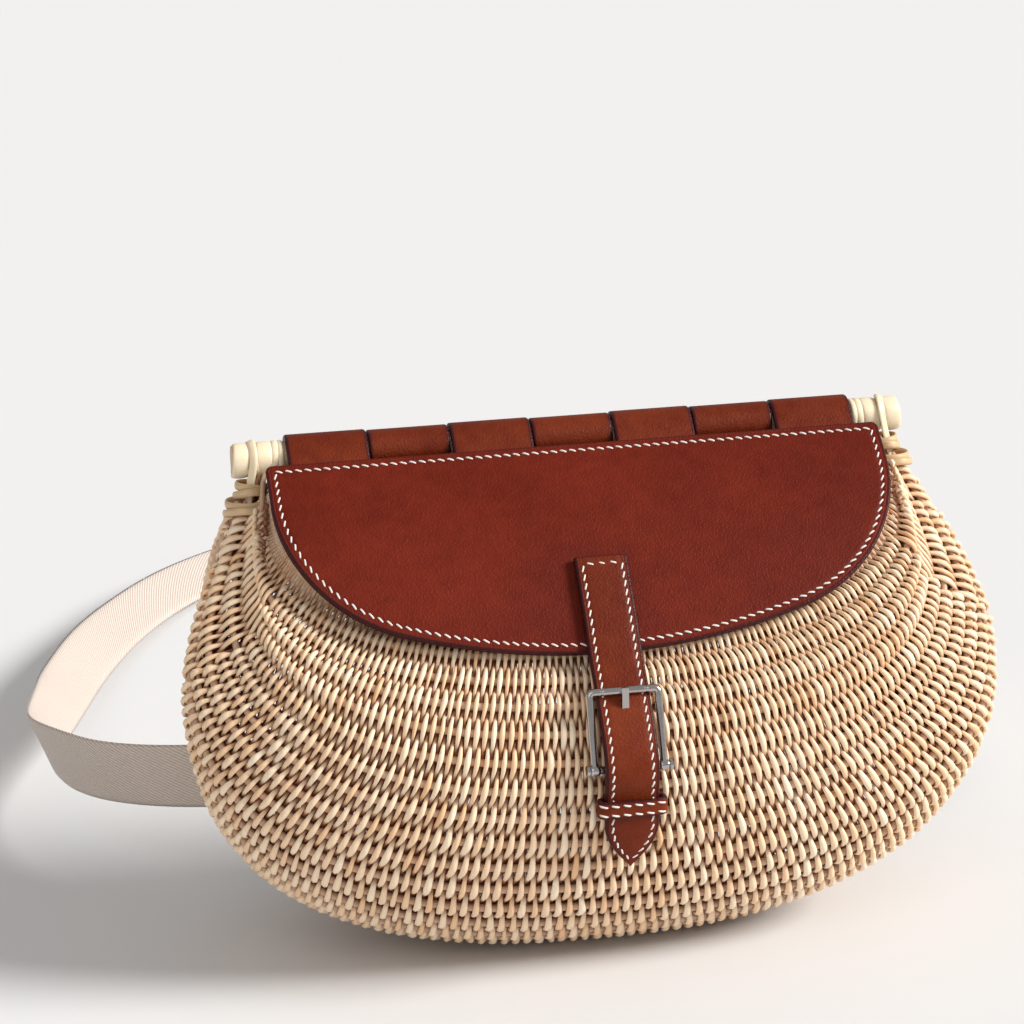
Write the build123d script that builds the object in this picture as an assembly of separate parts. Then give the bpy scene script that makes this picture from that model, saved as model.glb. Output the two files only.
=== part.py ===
"""Woven basket bag with a leather flap, a buckled strap and a webbing belt.

Millimetres, +Z up.  X runs along the top rod, -Y is the front, and the origin is
the middle of the flat patch on the underside that the basket stands on.
Profiles are drawn as (forward, down) distances from the axis of the top rod.
"""
from build123d import *
import math
import os

import numpy as np

# ---------------------------------------------------------------- basket
ROD_BACK = 27.0            # rod axis, behind the middle of the base
ROD_HEIGHT = 165.6         # rod axis, above the floor
BASKET_HALF = 138.4        # half the width of the basket at its widest
NECK_HALF = 105.4          # where all the ribs gather, half the distance apart
WALL = 6.0                 # woven wall, over stakes and weavers
MOUTH_FRONT = (53.0, 48.0)         # front edge of the mouth
BELLY = [(64.0, 57.4), (75.0, 67.3), (83.0, 81.0), (86.0, 98.0), (83.0, 117.0), (75.0, 137.5)]
BASE = [(60.0, 156.0), (39.0, 165.7), (12.0, 166.4)]
BACK = [(-10.0, 157.5), (-20.0, 134.0), (-23.0, 103.0), (-19.5, 60.0), (-9.0, 22.0)]
RIB_SPREAD = [(0.0, 0.0), (0.12, 0.22), (0.28, 1.0), (0.45, 0.85), (0.70, 0.62), (1.0, 0.0)]
RIB_TURN = [(0.0, 0.34), (0.28, 0.50), (1.0, 0.50)]     # where a rib turns back, share of its reach
RIB_SQUARENESS = 2.45      # 2 is an ellipse, more is squarer
RIB_SHOULDER = 1.5         # how straight a rib runs up to the neck
STATIONS = [0.0, 0.2, 0.38, 0.54, 0.66, 0.735, 0.79, 0.835, 0.87, 0.905, 0.94, 0.968, 0.99]
LOOP_POINTS = 30           # points round each slice of the basket
RIB_SAMPLES = 90           # ribs looked at for one slice
REACH = 3 * BASKET_HALF    # longer than anything here, for cutting tools

# ---------------------------------------------------------------- rod, rim and bindings
ROD_RADIUS = 5.0
ROD_HALF = 114.0
CANE = 0.9                 # thickness of flat binding cane
SLIP = 0.05                # radial clearance of a binding on what it is wound on
BINDING_START = 97.2       # inner end of the cane at each rod end
NECK_BAND = (101.5, 108.5)         # from, to: second turn of cane that ties the neck
RIM_RADIUS = 2.2           # rod round the mouth
RIM_INSET = 3.4            # its middle, inside the outer edge of the mouth
RIM_CUT = 60.0             # height of the cut that makes room for it
FLOOR_CUT = 20.0           # height of the cut under the flat patch
MOUTH_CORNER = 48.0        # radius of the mouth's two front corners
MOUTH_BOW = 205.0          # radius of the mouth's front edge
GAP = 0.3                  # air between parts that only lie on each other

# ---------------------------------------------------------------- flap
FLAP_HALF = 104.2
FLAP_CORNER = 55.0
FLAP_BOW = 210.0
FLAP_START = -1.2          # top edge of the panel, along its face from FLAP_TOP
FLAP_OUTER = 1.8
FLAP_LINING = 1.4
FLAP_CROWN = 3.5           # how far the panel bows out between its ends
FLAP_TOP = (9.9, -0.6)             # outer face at the top edge
FLAP_FOOT = (66.4, 54.4)           # outer face at the lower edge
KNUCKLE_RADIUS = 7.5
BACK_KNUCKLE_RADIUS = 7.15         # a little less, so the panel's edge turns past it
HINGE_CLEARANCE = 0.1      # leather eye on the rod, radial
KNUCKLE_HALF = 96.5        # half the length of the row of seven eyes
KNUCKLES = 7
KNUCKLE_GAP = 0.8          # between neighbours
KNUCKLE_ROOM = 0.5         # between an eye and the weave
TAIL_LENGTH = 13.4         # flap eye's tail, behind the panel
TAIL_START = -2.7          # inside the eye
FACING_HALF = 92.0         # leather facing sewn on the back wall
FACING_DOWN = (12.0, 20.0, 30.0, 40.0)         # upper edge to lower edge, below the rod axis
FACING_THICKNESS = 2.0
EAR_RISE = 8.0             # from the facing's upper edge up into an eye
STITCHES = 26              # in the row along its lower edge
STITCH = (4.6, 0.8, 0.7)   # length, width, thickness of one stitch
STITCH_INSET = 4.0         # from the edges of the facing

# ---------------------------------------------------------------- buckle
STRAP_WIDTH = 17.6
STRAP_THICKNESS = 2.6
STRAP_LIFT = 0.2           # air between the strap and the flap it is sewn on
STRAP_TOP = 44.5           # where the strap starts on the flap, from the top edge
HEEL = (87.6, 86.4)                # axis of the heel bar
TOP_BAR = (79.9, 62.9)             # axis of the top bar
BAR_RADIUS = 1.3
FRAME_INSIDE = 19.6        # clear width between the side bars
KNOB = 0.8                 # metal round the heel bar at the foot of each side bar
PIN_HEAD = (0.5, 0.9)      # spread end of the heel bar: more radius, length
PRONG_RADIUS = 0.9
PRONG_FLAT = 0.2           # how much wider than thick it is, each side
PRONG_PATH = [(1.5, -0.5), (9.0, -0.9), (16.0, -0.7), (21.5, 1.4)]      # up from the heel bar, out from it
PRONG_OVER = 1.0           # past the middle of the top bar
PRONG_REST = 0.35          # air over the top bar
PRONG_WALL = 1.1           # metal round the heel bar
PRONG_CLEARANCE = 0.45     # round the prong where it goes through the strap
SLOT_ROOM = 1.5            # slot in the tab's fold, beyond its leather
PIN_CLEARANCE = 0.08       # prong eye on the heel bar, radial
HOLE_PLACE = 0.78          # middle of the strap's hole, share of the way to the top bar
HOLE_LENGTH = 12.0
CHAPE_THICKNESS = 1.3
CHAPE_WIDTH = 15.0
CHAPE_DOWN = (85.9, 94.0, 103.0, 111.0)        # buckle tab, top to bottom, below the rod axis
KEEPER_DOWN = 98.5         # middle of the keeper, below the rod axis
KEEPER_WIDTH = 5.6
KEEPER_THICKNESS = 1.4
KEEPER_SKIVED = 0.8        # its underside, pared thin below the strap
KEEPER_ROOM = 1.1          # beside the strap
TIP_LENGTH = 15.0          # pointed end of the strap
TIP_DOWN = 118.6           # point of the strap, below the rod axis
TIP_KNEE = (0.66, 0.42)    # a point on the curve of the tip, as shares of half width and tip length

# ---------------------------------------------------------------- belt
BELT_WIDTH = 24.0
BELT_THICKNESS = 1.8
# lower edge of the right half, middle of the back first
BELT_PATH = [(0.0, 51.3, 36.0), (31.0, 51.4, 35.6), (62.0, 52.0, 34.6), (118.0, 62.0, 30.0),
             (158.0, 91.0, 25.0), (173.0, 137.0, 19.0), (163.5, 200.0, 12.4), (141.0, 285.0, 7.0),
             (98.0, 378.0, 3.0), (56.0, 425.0, 1.2), (22.0, 442.5, 0.9), (0.0, 445.0, 0.9)]
BELT_LEAN = [(0.0, 0.0), (0.17, 2.0), (0.3, 8.0), (0.4, 24.0), (0.55, 48.0), (0.75, 64.0), (1.0, 74.0)]
BELT_SECTIONS = 26
LOOP_PLACE = 58.0          # middle of each belt loop, either side
LOOP_WIDTH = 22.0
LOOP_THICKNESS = 2.0
LOOP_ROOM = 2.2            # free height above and below the belt inside its loop
RIVET_RADIUS = 3.6
RIVET_HEAD = 1.4
RIVET_STEM = 1.4
RIVET_SEAT = 0.3           # head off the leather
RIVET_DEPTH = 4.0          # stem in the weave
LOOP_FOOT = 10.0           # flat end of a loop
LOOP_SLOPE = (6.0, 7.0)    # height of the slant above and below the belt
LOOP_BEND = 2.0            # from the start of a slant to the straight part over the belt


# ---------------------------------------------------------------- frame helpers
def place(x, point):
    """The model's point for a place x along the rod and (forward, down) from its axis."""
    return Vector(x, ROD_BACK - point[0], ROD_HEIGHT - point[1])


def slice_plane(x):
    """Upright plane across the rod at x, with local axes forward and up."""
    return Plane(origin=place(x, (0, 0)), x_dir=(0, -1, 0), z_dir=(-1, 0, 0))


def across(profile, start, end):
    """A profile drawn as (forward, up) from the rod axis, carried from start to end along X."""
    return extrude(slice_plane(end) * profile, amount=end - start)


def flip(points):
    """(forward, down) points as (forward, up) ones."""
    return [(f, -d) for f, d in points]


def unit(a, b):
    """Direction from a to b, the normal on its outer side, both (forward, down), and the length."""
    length = math.dist(a, b)
    along = ((b[0] - a[0]) / length, (b[1] - a[1]) / length)
    return along, (along[1], -along[0]), length


def moved(point, along, u, out=(0, 0), w=0.0):
    """Point moved u along one direction and w along another."""
    return (point[0] + along[0] * u + out[0] * w, point[1] + along[1] * u + out[1] * w)


def face_plane(origin, along):
    """Plane through origin whose local Y runs along, down the front, and whose normal is outward."""
    return Plane(origin=place(0, origin), x_dir=(-1, 0, 0), z_dir=(0, -along[1], along[0]))


def ease(knots, t):
    """Cosine-smoothed value at t between (t, value) knots."""
    xs = [k[0] for k in knots]
    ys = [k[1] for k in knots]
    i = int(min(max(np.searchsorted(xs, t) - 1, 0), len(xs) - 2))
    share = (t - xs[i]) / (xs[i + 1] - xs[i])
    return ys[i] + (ys[i + 1] - ys[i]) * (1 - math.cos(math.pi * share)) / 2


def ribbon(points, thickness, count=24):
    """Profile of a strip of leather or metal bent along a curve through (forward, down) points."""
    middle = Spline(*flip(points))
    outer, inner = [], []
    for t in np.linspace(0, 1, count):
        at = middle @ t
        side = (middle % t).rotate(Axis.Z, 90) * (thickness / 2)
        outer.append(at + side)
        inner.append(at - side)
    edges = [Spline(*outer), Line(outer[-1], inner[-1]), Spline(*inner[::-1]), Line(inner[0], outer[0])]
    return make_face(edges)


def eye(outer, inner):
    """Ring profile round the rod axis."""
    return Circle(outer) - Circle(inner)


parts = {}


# ---------------------------------------------------------------- basket shell
middle_rib = Spline(*flip([MOUTH_FRONT] + BELLY + BASE + BACK + [(0.0, 0.0)]))


def rib_points(x):
    """Where the ribs cross the slice at x, (forward, up), from the mouth round to the back.

    Each rib lies in a plane through the rod axis.  Its lower half is a squared ellipse
    out to its own half width and its upper half runs back to the neck; both are shares
    of the rib's reach at the middle of the basket.
    """
    low, high = [], []
    for t in np.linspace(0, 1, RIB_SAMPLES):
        point = middle_rib @ t
        half = NECK_HALF + (BASKET_HALF - NECK_HALF) * max(ease(RIB_SPREAD, t), 0.002)
        turn = ease(RIB_TURN, t)
        if x > half:
            continue
        share = turn + (1 - turn) * (1 - (x / half) ** RIB_SQUARENESS) ** (1 / RIB_SQUARENESS)
        low.append((point.X * share, point.Y * share))
        if x > NECK_HALF:
            share = turn * (1 - (1 - (x - NECK_HALF) / (half - NECK_HALF)) ** (1 / RIB_SHOULDER))
            high.append((point.X * share, point.Y * share))
    if x <= NECK_HALF:
        high = [(0.0, 0.0)]
    return low + high[::-1]


def basket_slice(x, inset, at):
    """Closed outline of the basket's slice at x, drawn in by inset and placed at the station at."""
    loop = np.array(rib_points(x))
    loop = np.vstack([loop, loop[:1]])
    run = np.concatenate([[0.0], np.cumsum(np.hypot(*np.diff(loop, axis=0).T))])
    marks = np.linspace(0, run[-1], LOOP_POINTS + 1)[:-1]
    loop = np.column_stack([np.interp(marks, run, loop[:, i]) for i in (0, 1)])
    middle = (loop.max(axis=0) + loop.min(axis=0)) / 2
    size = loop.max(axis=0) - loop.min(axis=0)
    loop = middle + (loop - middle) * (1 - 2 * inset / size)
    return slice_plane(at) * make_face(Spline(*[tuple(p) for p in loop], periodic=True))


def pod(inset):
    """The basket as a filled body, drawn in by inset all round."""
    shrink = (BASKET_HALF - inset) / BASKET_HALF
    xs = [BASKET_HALF * s for s in STATIONS]
    xs = [-x for x in xs[:0:-1]] + xs
    return loft([basket_slice(abs(x), inset, x * shrink) for x in xs], ruled=True)


def on_wall(x, down, out, back=False):
    """Point (forward, down) at a depth below the rod on the slice at x, moved out from the weave."""
    points = np.array(rib_points(x)) * (1, -1)
    lowest = int(points[:, 1].argmax())
    run = points[lowest:] if back else points[:lowest + 1]
    i = int(np.abs(run[:, 1] - down).argmin())
    i = min(max(i, 1), len(run) - 2)
    along = (run[i + 1] - run[i - 1]) / np.hypot(*(run[i + 1] - run[i - 1]))
    t = (down - run[i][1]) / along[1]
    return tuple(float(c) for c in run[i] + along * t + np.array([along[1], -along[0]]) * out)


mouth_along, mouth_out, mouth_reach = unit((0.0, 0.0), MOUTH_FRONT)
mouth_plane = face_plane((0.0, 0.0), mouth_along)


def d_outline(half, depth, corner, bow, top):
    """D shape: sides at half from top down, two corner arcs and a bowed lower edge at depth."""
    rise = math.sqrt((bow - corner) ** 2 - (half - corner) ** 2)
    corner_y = depth - bow + rise
    touch = Vector(half - corner, rise).normalized()
    split = (Vector(1, 0) + touch).normalized()
    meet = (touch.X * bow, depth - bow + touch.Y * bow)
    knee = (half - corner + split.X * corner, corner_y + split.Y * corner)
    return [
        Line((half, top), (half, corner_y)),
        ThreePointArc((half, corner_y), knee, meet),
        ThreePointArc(meet, (0, depth), (-meet[0], meet[1])),
        ThreePointArc((-meet[0], meet[1]), (-knee[0], knee[1]), (-half, corner_y)),
        Line((-half, corner_y), (-half, top)),
    ]


def d_face(half, depth, corner, bow, top):
    """The D outline as a face."""
    return make_face(d_outline(half, depth, corner, bow, top) + [Line((-half, top), (half, top))])


mouth_room = extrude(mouth_plane * d_face(
    NECK_HALF - WALL, mouth_reach - WALL, MOUTH_CORNER - WALL, MOUTH_BOW - WALL, 0.0),
    amount=3 * WALL, both=True)
rim_level = mouth_plane.offset(-RIM_RADIUS - GAP)
above_rim = rim_level * Box(REACH, 3 * mouth_reach, RIM_CUT, align=(Align.CENTER, Align.CENTER, Align.MIN))
rod_room = across(Circle(KNUCKLE_RADIUS + KNUCKLE_ROOM), -BINDING_START, BINDING_START)
band_radius = ROD_RADIUS + 2 * (CANE + SLIP)
rod_room += across(Circle(band_radius + GAP), -BASKET_HALF, BASKET_HALF)
floor_cut = Box(REACH, REACH, FLOOR_CUT, align=(Align.CENTER, Align.CENTER, Align.MAX))
shell = pod(0.0) - pod(WALL) - mouth_room - above_rim - rod_room - floor_cut


# ---------------------------------------------------------------- rods and cane bindings
parts["top_rod"] = across(Circle(ROD_RADIUS), -ROD_HALF, ROD_HALF)
binding = ROD_RADIUS + SLIP
for name, sign in (("left", -1), ("right", 1)):
    ends = sorted((sign * BINDING_START, sign * ROD_HALF))
    parts["rod_binding_" + name] = across(eye(binding + CANE, binding), *ends)
    ends = sorted((sign * NECK_BAND[0], sign * NECK_BAND[1]))
    parts["neck_band_" + name] = across(eye(band_radius, band_radius - CANE), *ends)

rim_path = Wire([mouth_plane * edge for edge in d_outline(
    NECK_HALF - RIM_INSET, mouth_reach - RIM_INSET, MOUTH_CORNER - RIM_INSET, MOUTH_BOW - RIM_INSET,
    band_radius + GAP)])
rim_start = Plane(origin=rim_path @ 0, z_dir=rim_path % 0)
parts["mouth_rim"] = sweep(rim_start * Circle(RIM_RADIUS), path=rim_path)


# ---------------------------------------------------------------- flap
flap_along, flap_out, flap_length = unit(FLAP_TOP, FLAP_FOOT)
flap_radius = (flap_length ** 2 / 4 + FLAP_CROWN ** 2) / (2 * FLAP_CROWN)
flap_layers = FLAP_OUTER + FLAP_LINING


def on_flap(u, w):
    """Point (forward, down) at u along the flap's face from its top and w out from that face."""
    turn = (u - flap_length / 2) / flap_radius
    radius = flap_radius + w
    along = flap_length / 2 + radius * math.sin(turn)
    return moved(FLAP_TOP, flap_along, along, flap_out, radius * math.cos(turn) - flap_radius + FLAP_CROWN)


def flap_layer(u0, u1, w0, w1):
    """Profile of one layer of the flap between two places along it and two depths."""
    def bow(w, a, b):
        return ThreePointArc(*flip([on_flap(a, w), on_flap((a + b) / 2, w), on_flap(b, w)]))
    sides = [Line(*flip([on_flap(u, w0), on_flap(u, w1)])) for u in (u0, u1)]
    return make_face([bow(w0, u0, u1), sides[1], bow(w1, u1, u0), sides[0]])


flap_plane = face_plane(FLAP_TOP, flap_along)
flap_outline = extrude(flap_plane * d_face(
    FLAP_HALF, flap_length, FLAP_CORNER, FLAP_BOW, 4 * FLAP_START), amount=20, both=True)
for name, u0, w0, w1 in (("flap_panel", FLAP_START, 0.0, -FLAP_OUTER),
                         ("flap_lining", TAIL_LENGTH + GAP, -FLAP_OUTER, -flap_layers)):
    layer = across(flap_layer(u0, flap_length + 5, w0, w1), -FLAP_HALF - 5, FLAP_HALF + 5)
    parts[name] = layer & flap_outline

# seven leather eyes on the rod: the odd ones carry the flap, the even ones the basket's back
bore = ROD_RADIUS + HINGE_CLEARANCE
pitch = 2 * KNUCKLE_HALF / KNUCKLES
spans = [(-KNUCKLE_HALF + i * pitch + KNUCKLE_GAP / 2, -KNUCKLE_HALF + (i + 1) * pitch - KNUCKLE_GAP / 2)
         for i in range(KNUCKLES)]
for number, span in enumerate(spans[::2], 1):
    tail_profile = flap_layer(TAIL_START, TAIL_LENGTH, -FLAP_OUTER, -flap_layers)
    parts[f"flap_eye_{number}"] = across(eye(KNUCKLE_RADIUS, bore), *span) + across(tail_profile, *span)

facing_middle = GAP + FACING_THICKNESS / 2
facing_points = [on_wall(0.0, d, facing_middle, back=True) for d in FACING_DOWN]
facing = across(ribbon(facing_points, FACING_THICKNESS), -FACING_HALF, FACING_HALF)
for span in spans[1::2]:
    ear_top = moved(facing_points[0], unit(facing_points[1], facing_points[0])[0], EAR_RISE)
    ear = across(ribbon([ear_top, facing_points[0], facing_points[1]], FACING_THICKNESS), *span)
    facing += ear - across(Circle(bore), *span) + across(eye(BACK_KNUCKLE_RADIUS, bore), *span)
parts["back_facing"] = facing


# ---------------------------------------------------------------- buckle
bar_along, bar_in, bar_reach = unit(HEEL, TOP_BAR)
bar_out = (-bar_in[0], -bar_in[1])


def at_heel(along, out):
    """Point (forward, down) measured from the heel bar, along the frame and out from it."""
    return moved(HEEL, bar_along, along, bar_out, out)


def heel_round(outer, inner=0.0):
    """Disc or ring profile round the heel bar."""
    disc = Pos(HEEL[0], -HEEL[1]) * Circle(outer)
    return disc - Pos(HEEL[0], -HEEL[1]) * Circle(inner) if inner else disc


side_bar = FRAME_INSIDE / 2 + BAR_RADIUS
frame_plane = Plane(origin=place(0, HEEL), x_dir=(1, 0, 0), z_dir=(0, -bar_out[0], -bar_out[1]))
frame_path = frame_plane * FilletPolyline(
    (-side_bar, 0), (-side_bar, bar_reach), (side_bar, bar_reach), (side_bar, 0), radius=2 * BAR_RADIUS)
frame_start = Plane(origin=frame_path @ 0, z_dir=frame_path % 0)
frame = sweep(frame_start * Circle(BAR_RADIUS), path=frame_path)
knob = BAR_RADIUS + KNOB
for sign in (-1, 1):
    ends = sorted((sign * (side_bar - knob), sign * (side_bar + knob)))
    frame += across(heel_round(knob), *ends)
    frame -= across(heel_round(BAR_RADIUS + SLIP), *ends)
parts["buckle_frame"] = frame

heel_bar = across(heel_round(BAR_RADIUS), -side_bar - knob, side_bar + knob)
for sign in (-1, 1):
    ends = sorted((sign * (side_bar + knob), sign * (side_bar + knob + PIN_HEAD[1])))
    heel_bar += across(heel_round(BAR_RADIUS + PIN_HEAD[0]), *ends)
parts["heel_bar"] = heel_bar

prong_eye = BAR_RADIUS + PIN_CLEARANCE
prong_half = PRONG_RADIUS + PRONG_FLAT
eye_half = prong_half + PRONG_FLAT
prong_line = [at_heel(*point) for point in PRONG_PATH]
prong_line += [at_heel(bar_reach + PRONG_OVER, BAR_RADIUS + PRONG_RADIUS + PRONG_REST)]
prong = across(ribbon(prong_line, 2 * PRONG_RADIUS), -prong_half, prong_half)
prong += across(heel_round(prong_eye + PRONG_WALL), -eye_half, eye_half)
parts["buckle_prong"] = prong - across(heel_round(prong_eye), -STRAP_WIDTH, STRAP_WIDTH)

# leather tab folded round the heel bar and sewn down behind the strap
chape_out = GAP + CHAPE_THICKNESS / 2
chape_points = [on_wall(0.0, d, chape_out) for d in CHAPE_DOWN]
chape = across(ribbon(chape_points, CHAPE_THICKNESS), -CHAPE_WIDTH / 2, CHAPE_WIDTH / 2)
chape += across(heel_round(prong_eye + CHAPE_THICKNESS), -CHAPE_WIDTH / 2, CHAPE_WIDTH / 2)
chape -= across(heel_round(prong_eye), -CHAPE_WIDTH, CHAPE_WIDTH)
slot_half = eye_half + PRONG_FLAT * 2
slot = across(heel_round(prong_eye + CHAPE_THICKNESS + SLOT_ROOM), -slot_half, slot_half)
parts["buckle_tab"] = chape - slot

keeper_foot = GAP + CHAPE_THICKNESS + SLIP
strap_on_keeper = keeper_foot + KEEPER_SKIVED + GAP + STRAP_THICKNESS / 2
over_heel = prong_eye + CHAPE_THICKNESS + GAP + STRAP_THICKNESS / 2
strap_on_flap = STRAP_LIFT + STRAP_THICKNESS / 2
strap_line = [on_flap(u, strap_on_flap) for u in np.linspace(STRAP_TOP, flap_length - 1.0, 5)]
strap_line += [at_heel(bar_reach, -BAR_RADIUS - GAP - STRAP_THICKNESS / 2),
               at_heel(bar_reach * 0.47, PRONG_RADIUS + GAP + STRAP_THICKNESS / 2),
               at_heel(0.0, over_heel), at_heel(-4.0, over_heel - 1.3)]
strap_line += [on_wall(0.0, KEEPER_DOWN + d, strap_on_keeper) for d in (-3.5, 0.0, KEEPER_WIDTH)]
strap_line += [on_wall(0.0, TIP_DOWN + 1.0, GAP + CHAPE_THICKNESS + STRAP_THICKNESS / 2)]
strap = across(ribbon(strap_line, STRAP_THICKNESS, 40), -STRAP_WIDTH / 2, STRAP_WIDTH / 2)
half = STRAP_WIDTH / 2
tip_z = ROD_HEIGHT - TIP_DOWN
knee = (half * TIP_KNEE[0], tip_z + TIP_LENGTH * TIP_KNEE[1])
outline = [Line((-half, ROD_HEIGHT), (half, ROD_HEIGHT)),
           Line((half, ROD_HEIGHT), (half, tip_z + TIP_LENGTH)),
           ThreePointArc((half, tip_z + TIP_LENGTH), (knee[0], knee[1]), (0, tip_z)),
           ThreePointArc((0, tip_z), (-knee[0], knee[1]), (-half, tip_z + TIP_LENGTH)),
           Line((-half, tip_z + TIP_LENGTH), (-half, ROD_HEIGHT))]
strap &= extrude(Plane.XZ * make_face(outline), amount=BASKET_HALF)
hole_middle = at_heel(bar_reach * HOLE_PLACE, 0.0)
hole = slice_plane(0) * Pos(hole_middle[0], -hole_middle[1]) * Rot(0, 0, math.degrees(math.atan2(
    -bar_along[1], bar_along[0]))) * Rectangle(HOLE_LENGTH, 4 * STRAP_THICKNESS)
parts["closure_strap"] = strap - extrude(hole, amount=prong_half + PRONG_CLEARANCE, both=True)

# keeper: a closed leather band round the strap, sewn on the tab
keeper_at = on_wall(0.0, KEEPER_DOWN, 0.0)
keeper_along = unit(on_wall(0.0, KEEPER_DOWN - 4, 0.0), on_wall(0.0, KEEPER_DOWN + 4, 0.0))[0]
keeper_plane = face_plane(keeper_at, keeper_along)
keeper_top = strap_on_keeper + STRAP_THICKNESS / 2 + GAP + KEEPER_THICKNESS
keeper_half = STRAP_WIDTH / 2 + KEEPER_ROOM + KEEPER_THICKNESS
keeper = keeper_plane * Pos(0, 0, keeper_foot) * Box(
    2 * keeper_half, KEEPER_WIDTH, keeper_top - keeper_foot, align=(Align.CENTER, Align.CENTER, Align.MIN))
long_edges = keeper.edges().filter_by(Axis(keeper_plane.origin, keeper_plane.y_dir))
keeper = fillet(long_edges, KEEPER_THICKNESS / 2)
keeper_inside = keeper_top - keeper_foot - KEEPER_SKIVED - KEEPER_THICKNESS
keeper -= keeper_plane * Pos(0, 0, keeper_foot + KEEPER_SKIVED) * Box(
    STRAP_WIDTH + 2 * KEEPER_ROOM, 2 * KEEPER_WIDTH, keeper_inside,
    align=(Align.CENTER, Align.CENTER, Align.MIN))
parts["strap_keeper"] = keeper


# ---------------------------------------------------------------- webbing belt and its loops
half_path = Spline(*BELT_PATH)


def belt_section(t):
    """Cross-section of the webbing at t round the left half of its ring, leaning out by BELT_LEAN."""
    at = half_path @ t
    along = half_path % t
    if t in (0, 1):
        along = Vector(math.copysign(1, along.X), 0, 0)
    out = Vector(along.Y, -along.X, 0).normalized()
    lean = math.radians(ease(BELT_LEAN, t))
    up_side = out * math.sin(lean) + Vector(0, 0, math.cos(lean))
    face_side = along.cross(up_side).normalized() * (BELT_THICKNESS / 2)
    top = at + up_side * BELT_WIDTH
    return make_face(Polyline(at - face_side, at + face_side, top + face_side, top - face_side, close=True))


half_belt = loft([belt_section(t) for t in np.linspace(0, 1, BELT_SECTIONS)])
parts["webbing_belt"] = half_belt + mirror(half_belt, about=Plane.YZ)

# a leather loop either side holds the belt to the back; a rivet at each end goes into the weave
belt_low = min((half_path @ t for t in np.linspace(0, 0.5, 200)), key=lambda p: abs(p.X - LOOP_PLACE))
belt_down = (ROD_HEIGHT - belt_low.Z - BELT_WIDTH, ROD_HEIGHT - belt_low.Z)
loop_out = ROD_BACK - belt_low.Y - BELT_THICKNESS / 2 - 3 * GAP - LOOP_THICKNESS / 2
loop_foot = GAP + LOOP_THICKNESS / 2


def loop_seat(down, lift=0.0):
    """Middle of the loop's leather where it lies on the back wall."""
    return on_wall(LOOP_PLACE - LOOP_WIDTH / 2, down, loop_foot + lift, back=True)


top_down = belt_down[0] - LOOP_ROOM
low_down = belt_down[1] + LOOP_ROOM
upper_foot = top_down - LOOP_SLOPE[0]
lower_foot = low_down + LOOP_SLOPE[1]
loop_line = [loop_seat(upper_foot - LOOP_FOOT, GAP), loop_seat(upper_foot, 2 * GAP),
             (loop_out, top_down + LOOP_BEND), (loop_out, low_down - LOOP_BEND),
             loop_seat(lower_foot, 3 * GAP), loop_seat(lower_foot + LOOP_FOOT, 2 * GAP)]
rivets = []
for name, sign in (("left", -1), ("right", 1)):
    ends = sorted((sign * (LOOP_PLACE - LOOP_WIDTH / 2), sign * (LOOP_PLACE + LOOP_WIDTH / 2)))
    loop = across(ribbon(loop_line, LOOP_THICKNESS, 40), *ends)
    for down in (upper_foot - LOOP_FOOT / 2, lower_foot + LOOP_FOOT / 2):
        top, low = loop_seat(down - 2, LOOP_THICKNESS / 2), loop_seat(down + 2, LOOP_THICKNESS / 2)
        _, out, _ = unit(low, top)
        middle = ((top[0] + low[0]) / 2, (top[1] + low[1]) / 2)
        start = place(sign * LOOP_PLACE, moved(middle, out, RIVET_SEAT))
        seat = Plane(origin=start, x_dir=(1, 0, 0), z_dir=(0, -out[0], -out[1]))
        head = extrude(seat * Circle(RIVET_RADIUS), amount=RIVET_HEAD)
        head = fillet(head.edges().sort_by(Axis(seat.origin, seat.z_dir))[-1], RIVET_HEAD * 0.6)
        stem = LOOP_THICKNESS + GAP + RIVET_DEPTH
        rivets.append(head + extrude(seat * Circle(RIVET_STEM), amount=-stem))
        hole = extrude(seat * Circle(RIVET_STEM + SLIP), amount=-stem - GAP)
        loop -= hole
        shell -= hole
    parts["belt_loop_" + name] = loop
parts["basket_shell"] = shell
parts["loop_rivets"] = Compound(children=rivets)

# a row of saddle stitches holds the lower edge of the back facing
stitch_down = FACING_DOWN[-1] - STITCH_INSET
stitch_seat = on_wall(0.0, stitch_down, GAP + FACING_THICKNESS + SLIP, back=True)
stitch_next = on_wall(0.0, stitch_down + STITCH_INSET / 2, GAP + FACING_THICKNESS + SLIP, back=True)
_, stitch_out, _ = unit(stitch_next, stitch_seat)
stitches = []
for i in range(STITCHES):
    x = (i + 0.5 - STITCHES / 2) * 2 * (FACING_HALF - STITCH_INSET) / STITCHES
    seat = Plane(origin=place(x, stitch_seat), x_dir=(1, 0, 0), z_dir=(0, -stitch_out[0], -stitch_out[1]))
    stitches.append(seat * Box(*STITCH, align=(Align.CENTER, Align.CENTER, Align.MIN)))
parts["facing_stitches"] = Compound(children=stitches)

os.makedirs("parts", exist_ok=True)
for name, part in parts.items():
    export_step(part, f"parts/{name}.step")
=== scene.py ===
"""Visible model of the woven basket bag: willow weave, leather flap and strap, buckle, webbing belt.

Shapes are worked out in millimetres as (forward, down) distances from the axis of the top rod,
with x along the rod, and are turned into the shared frame's metres when a mesh is made.
"""
import bpy
import numpy as np
from mathutils import Matrix, Vector


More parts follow.
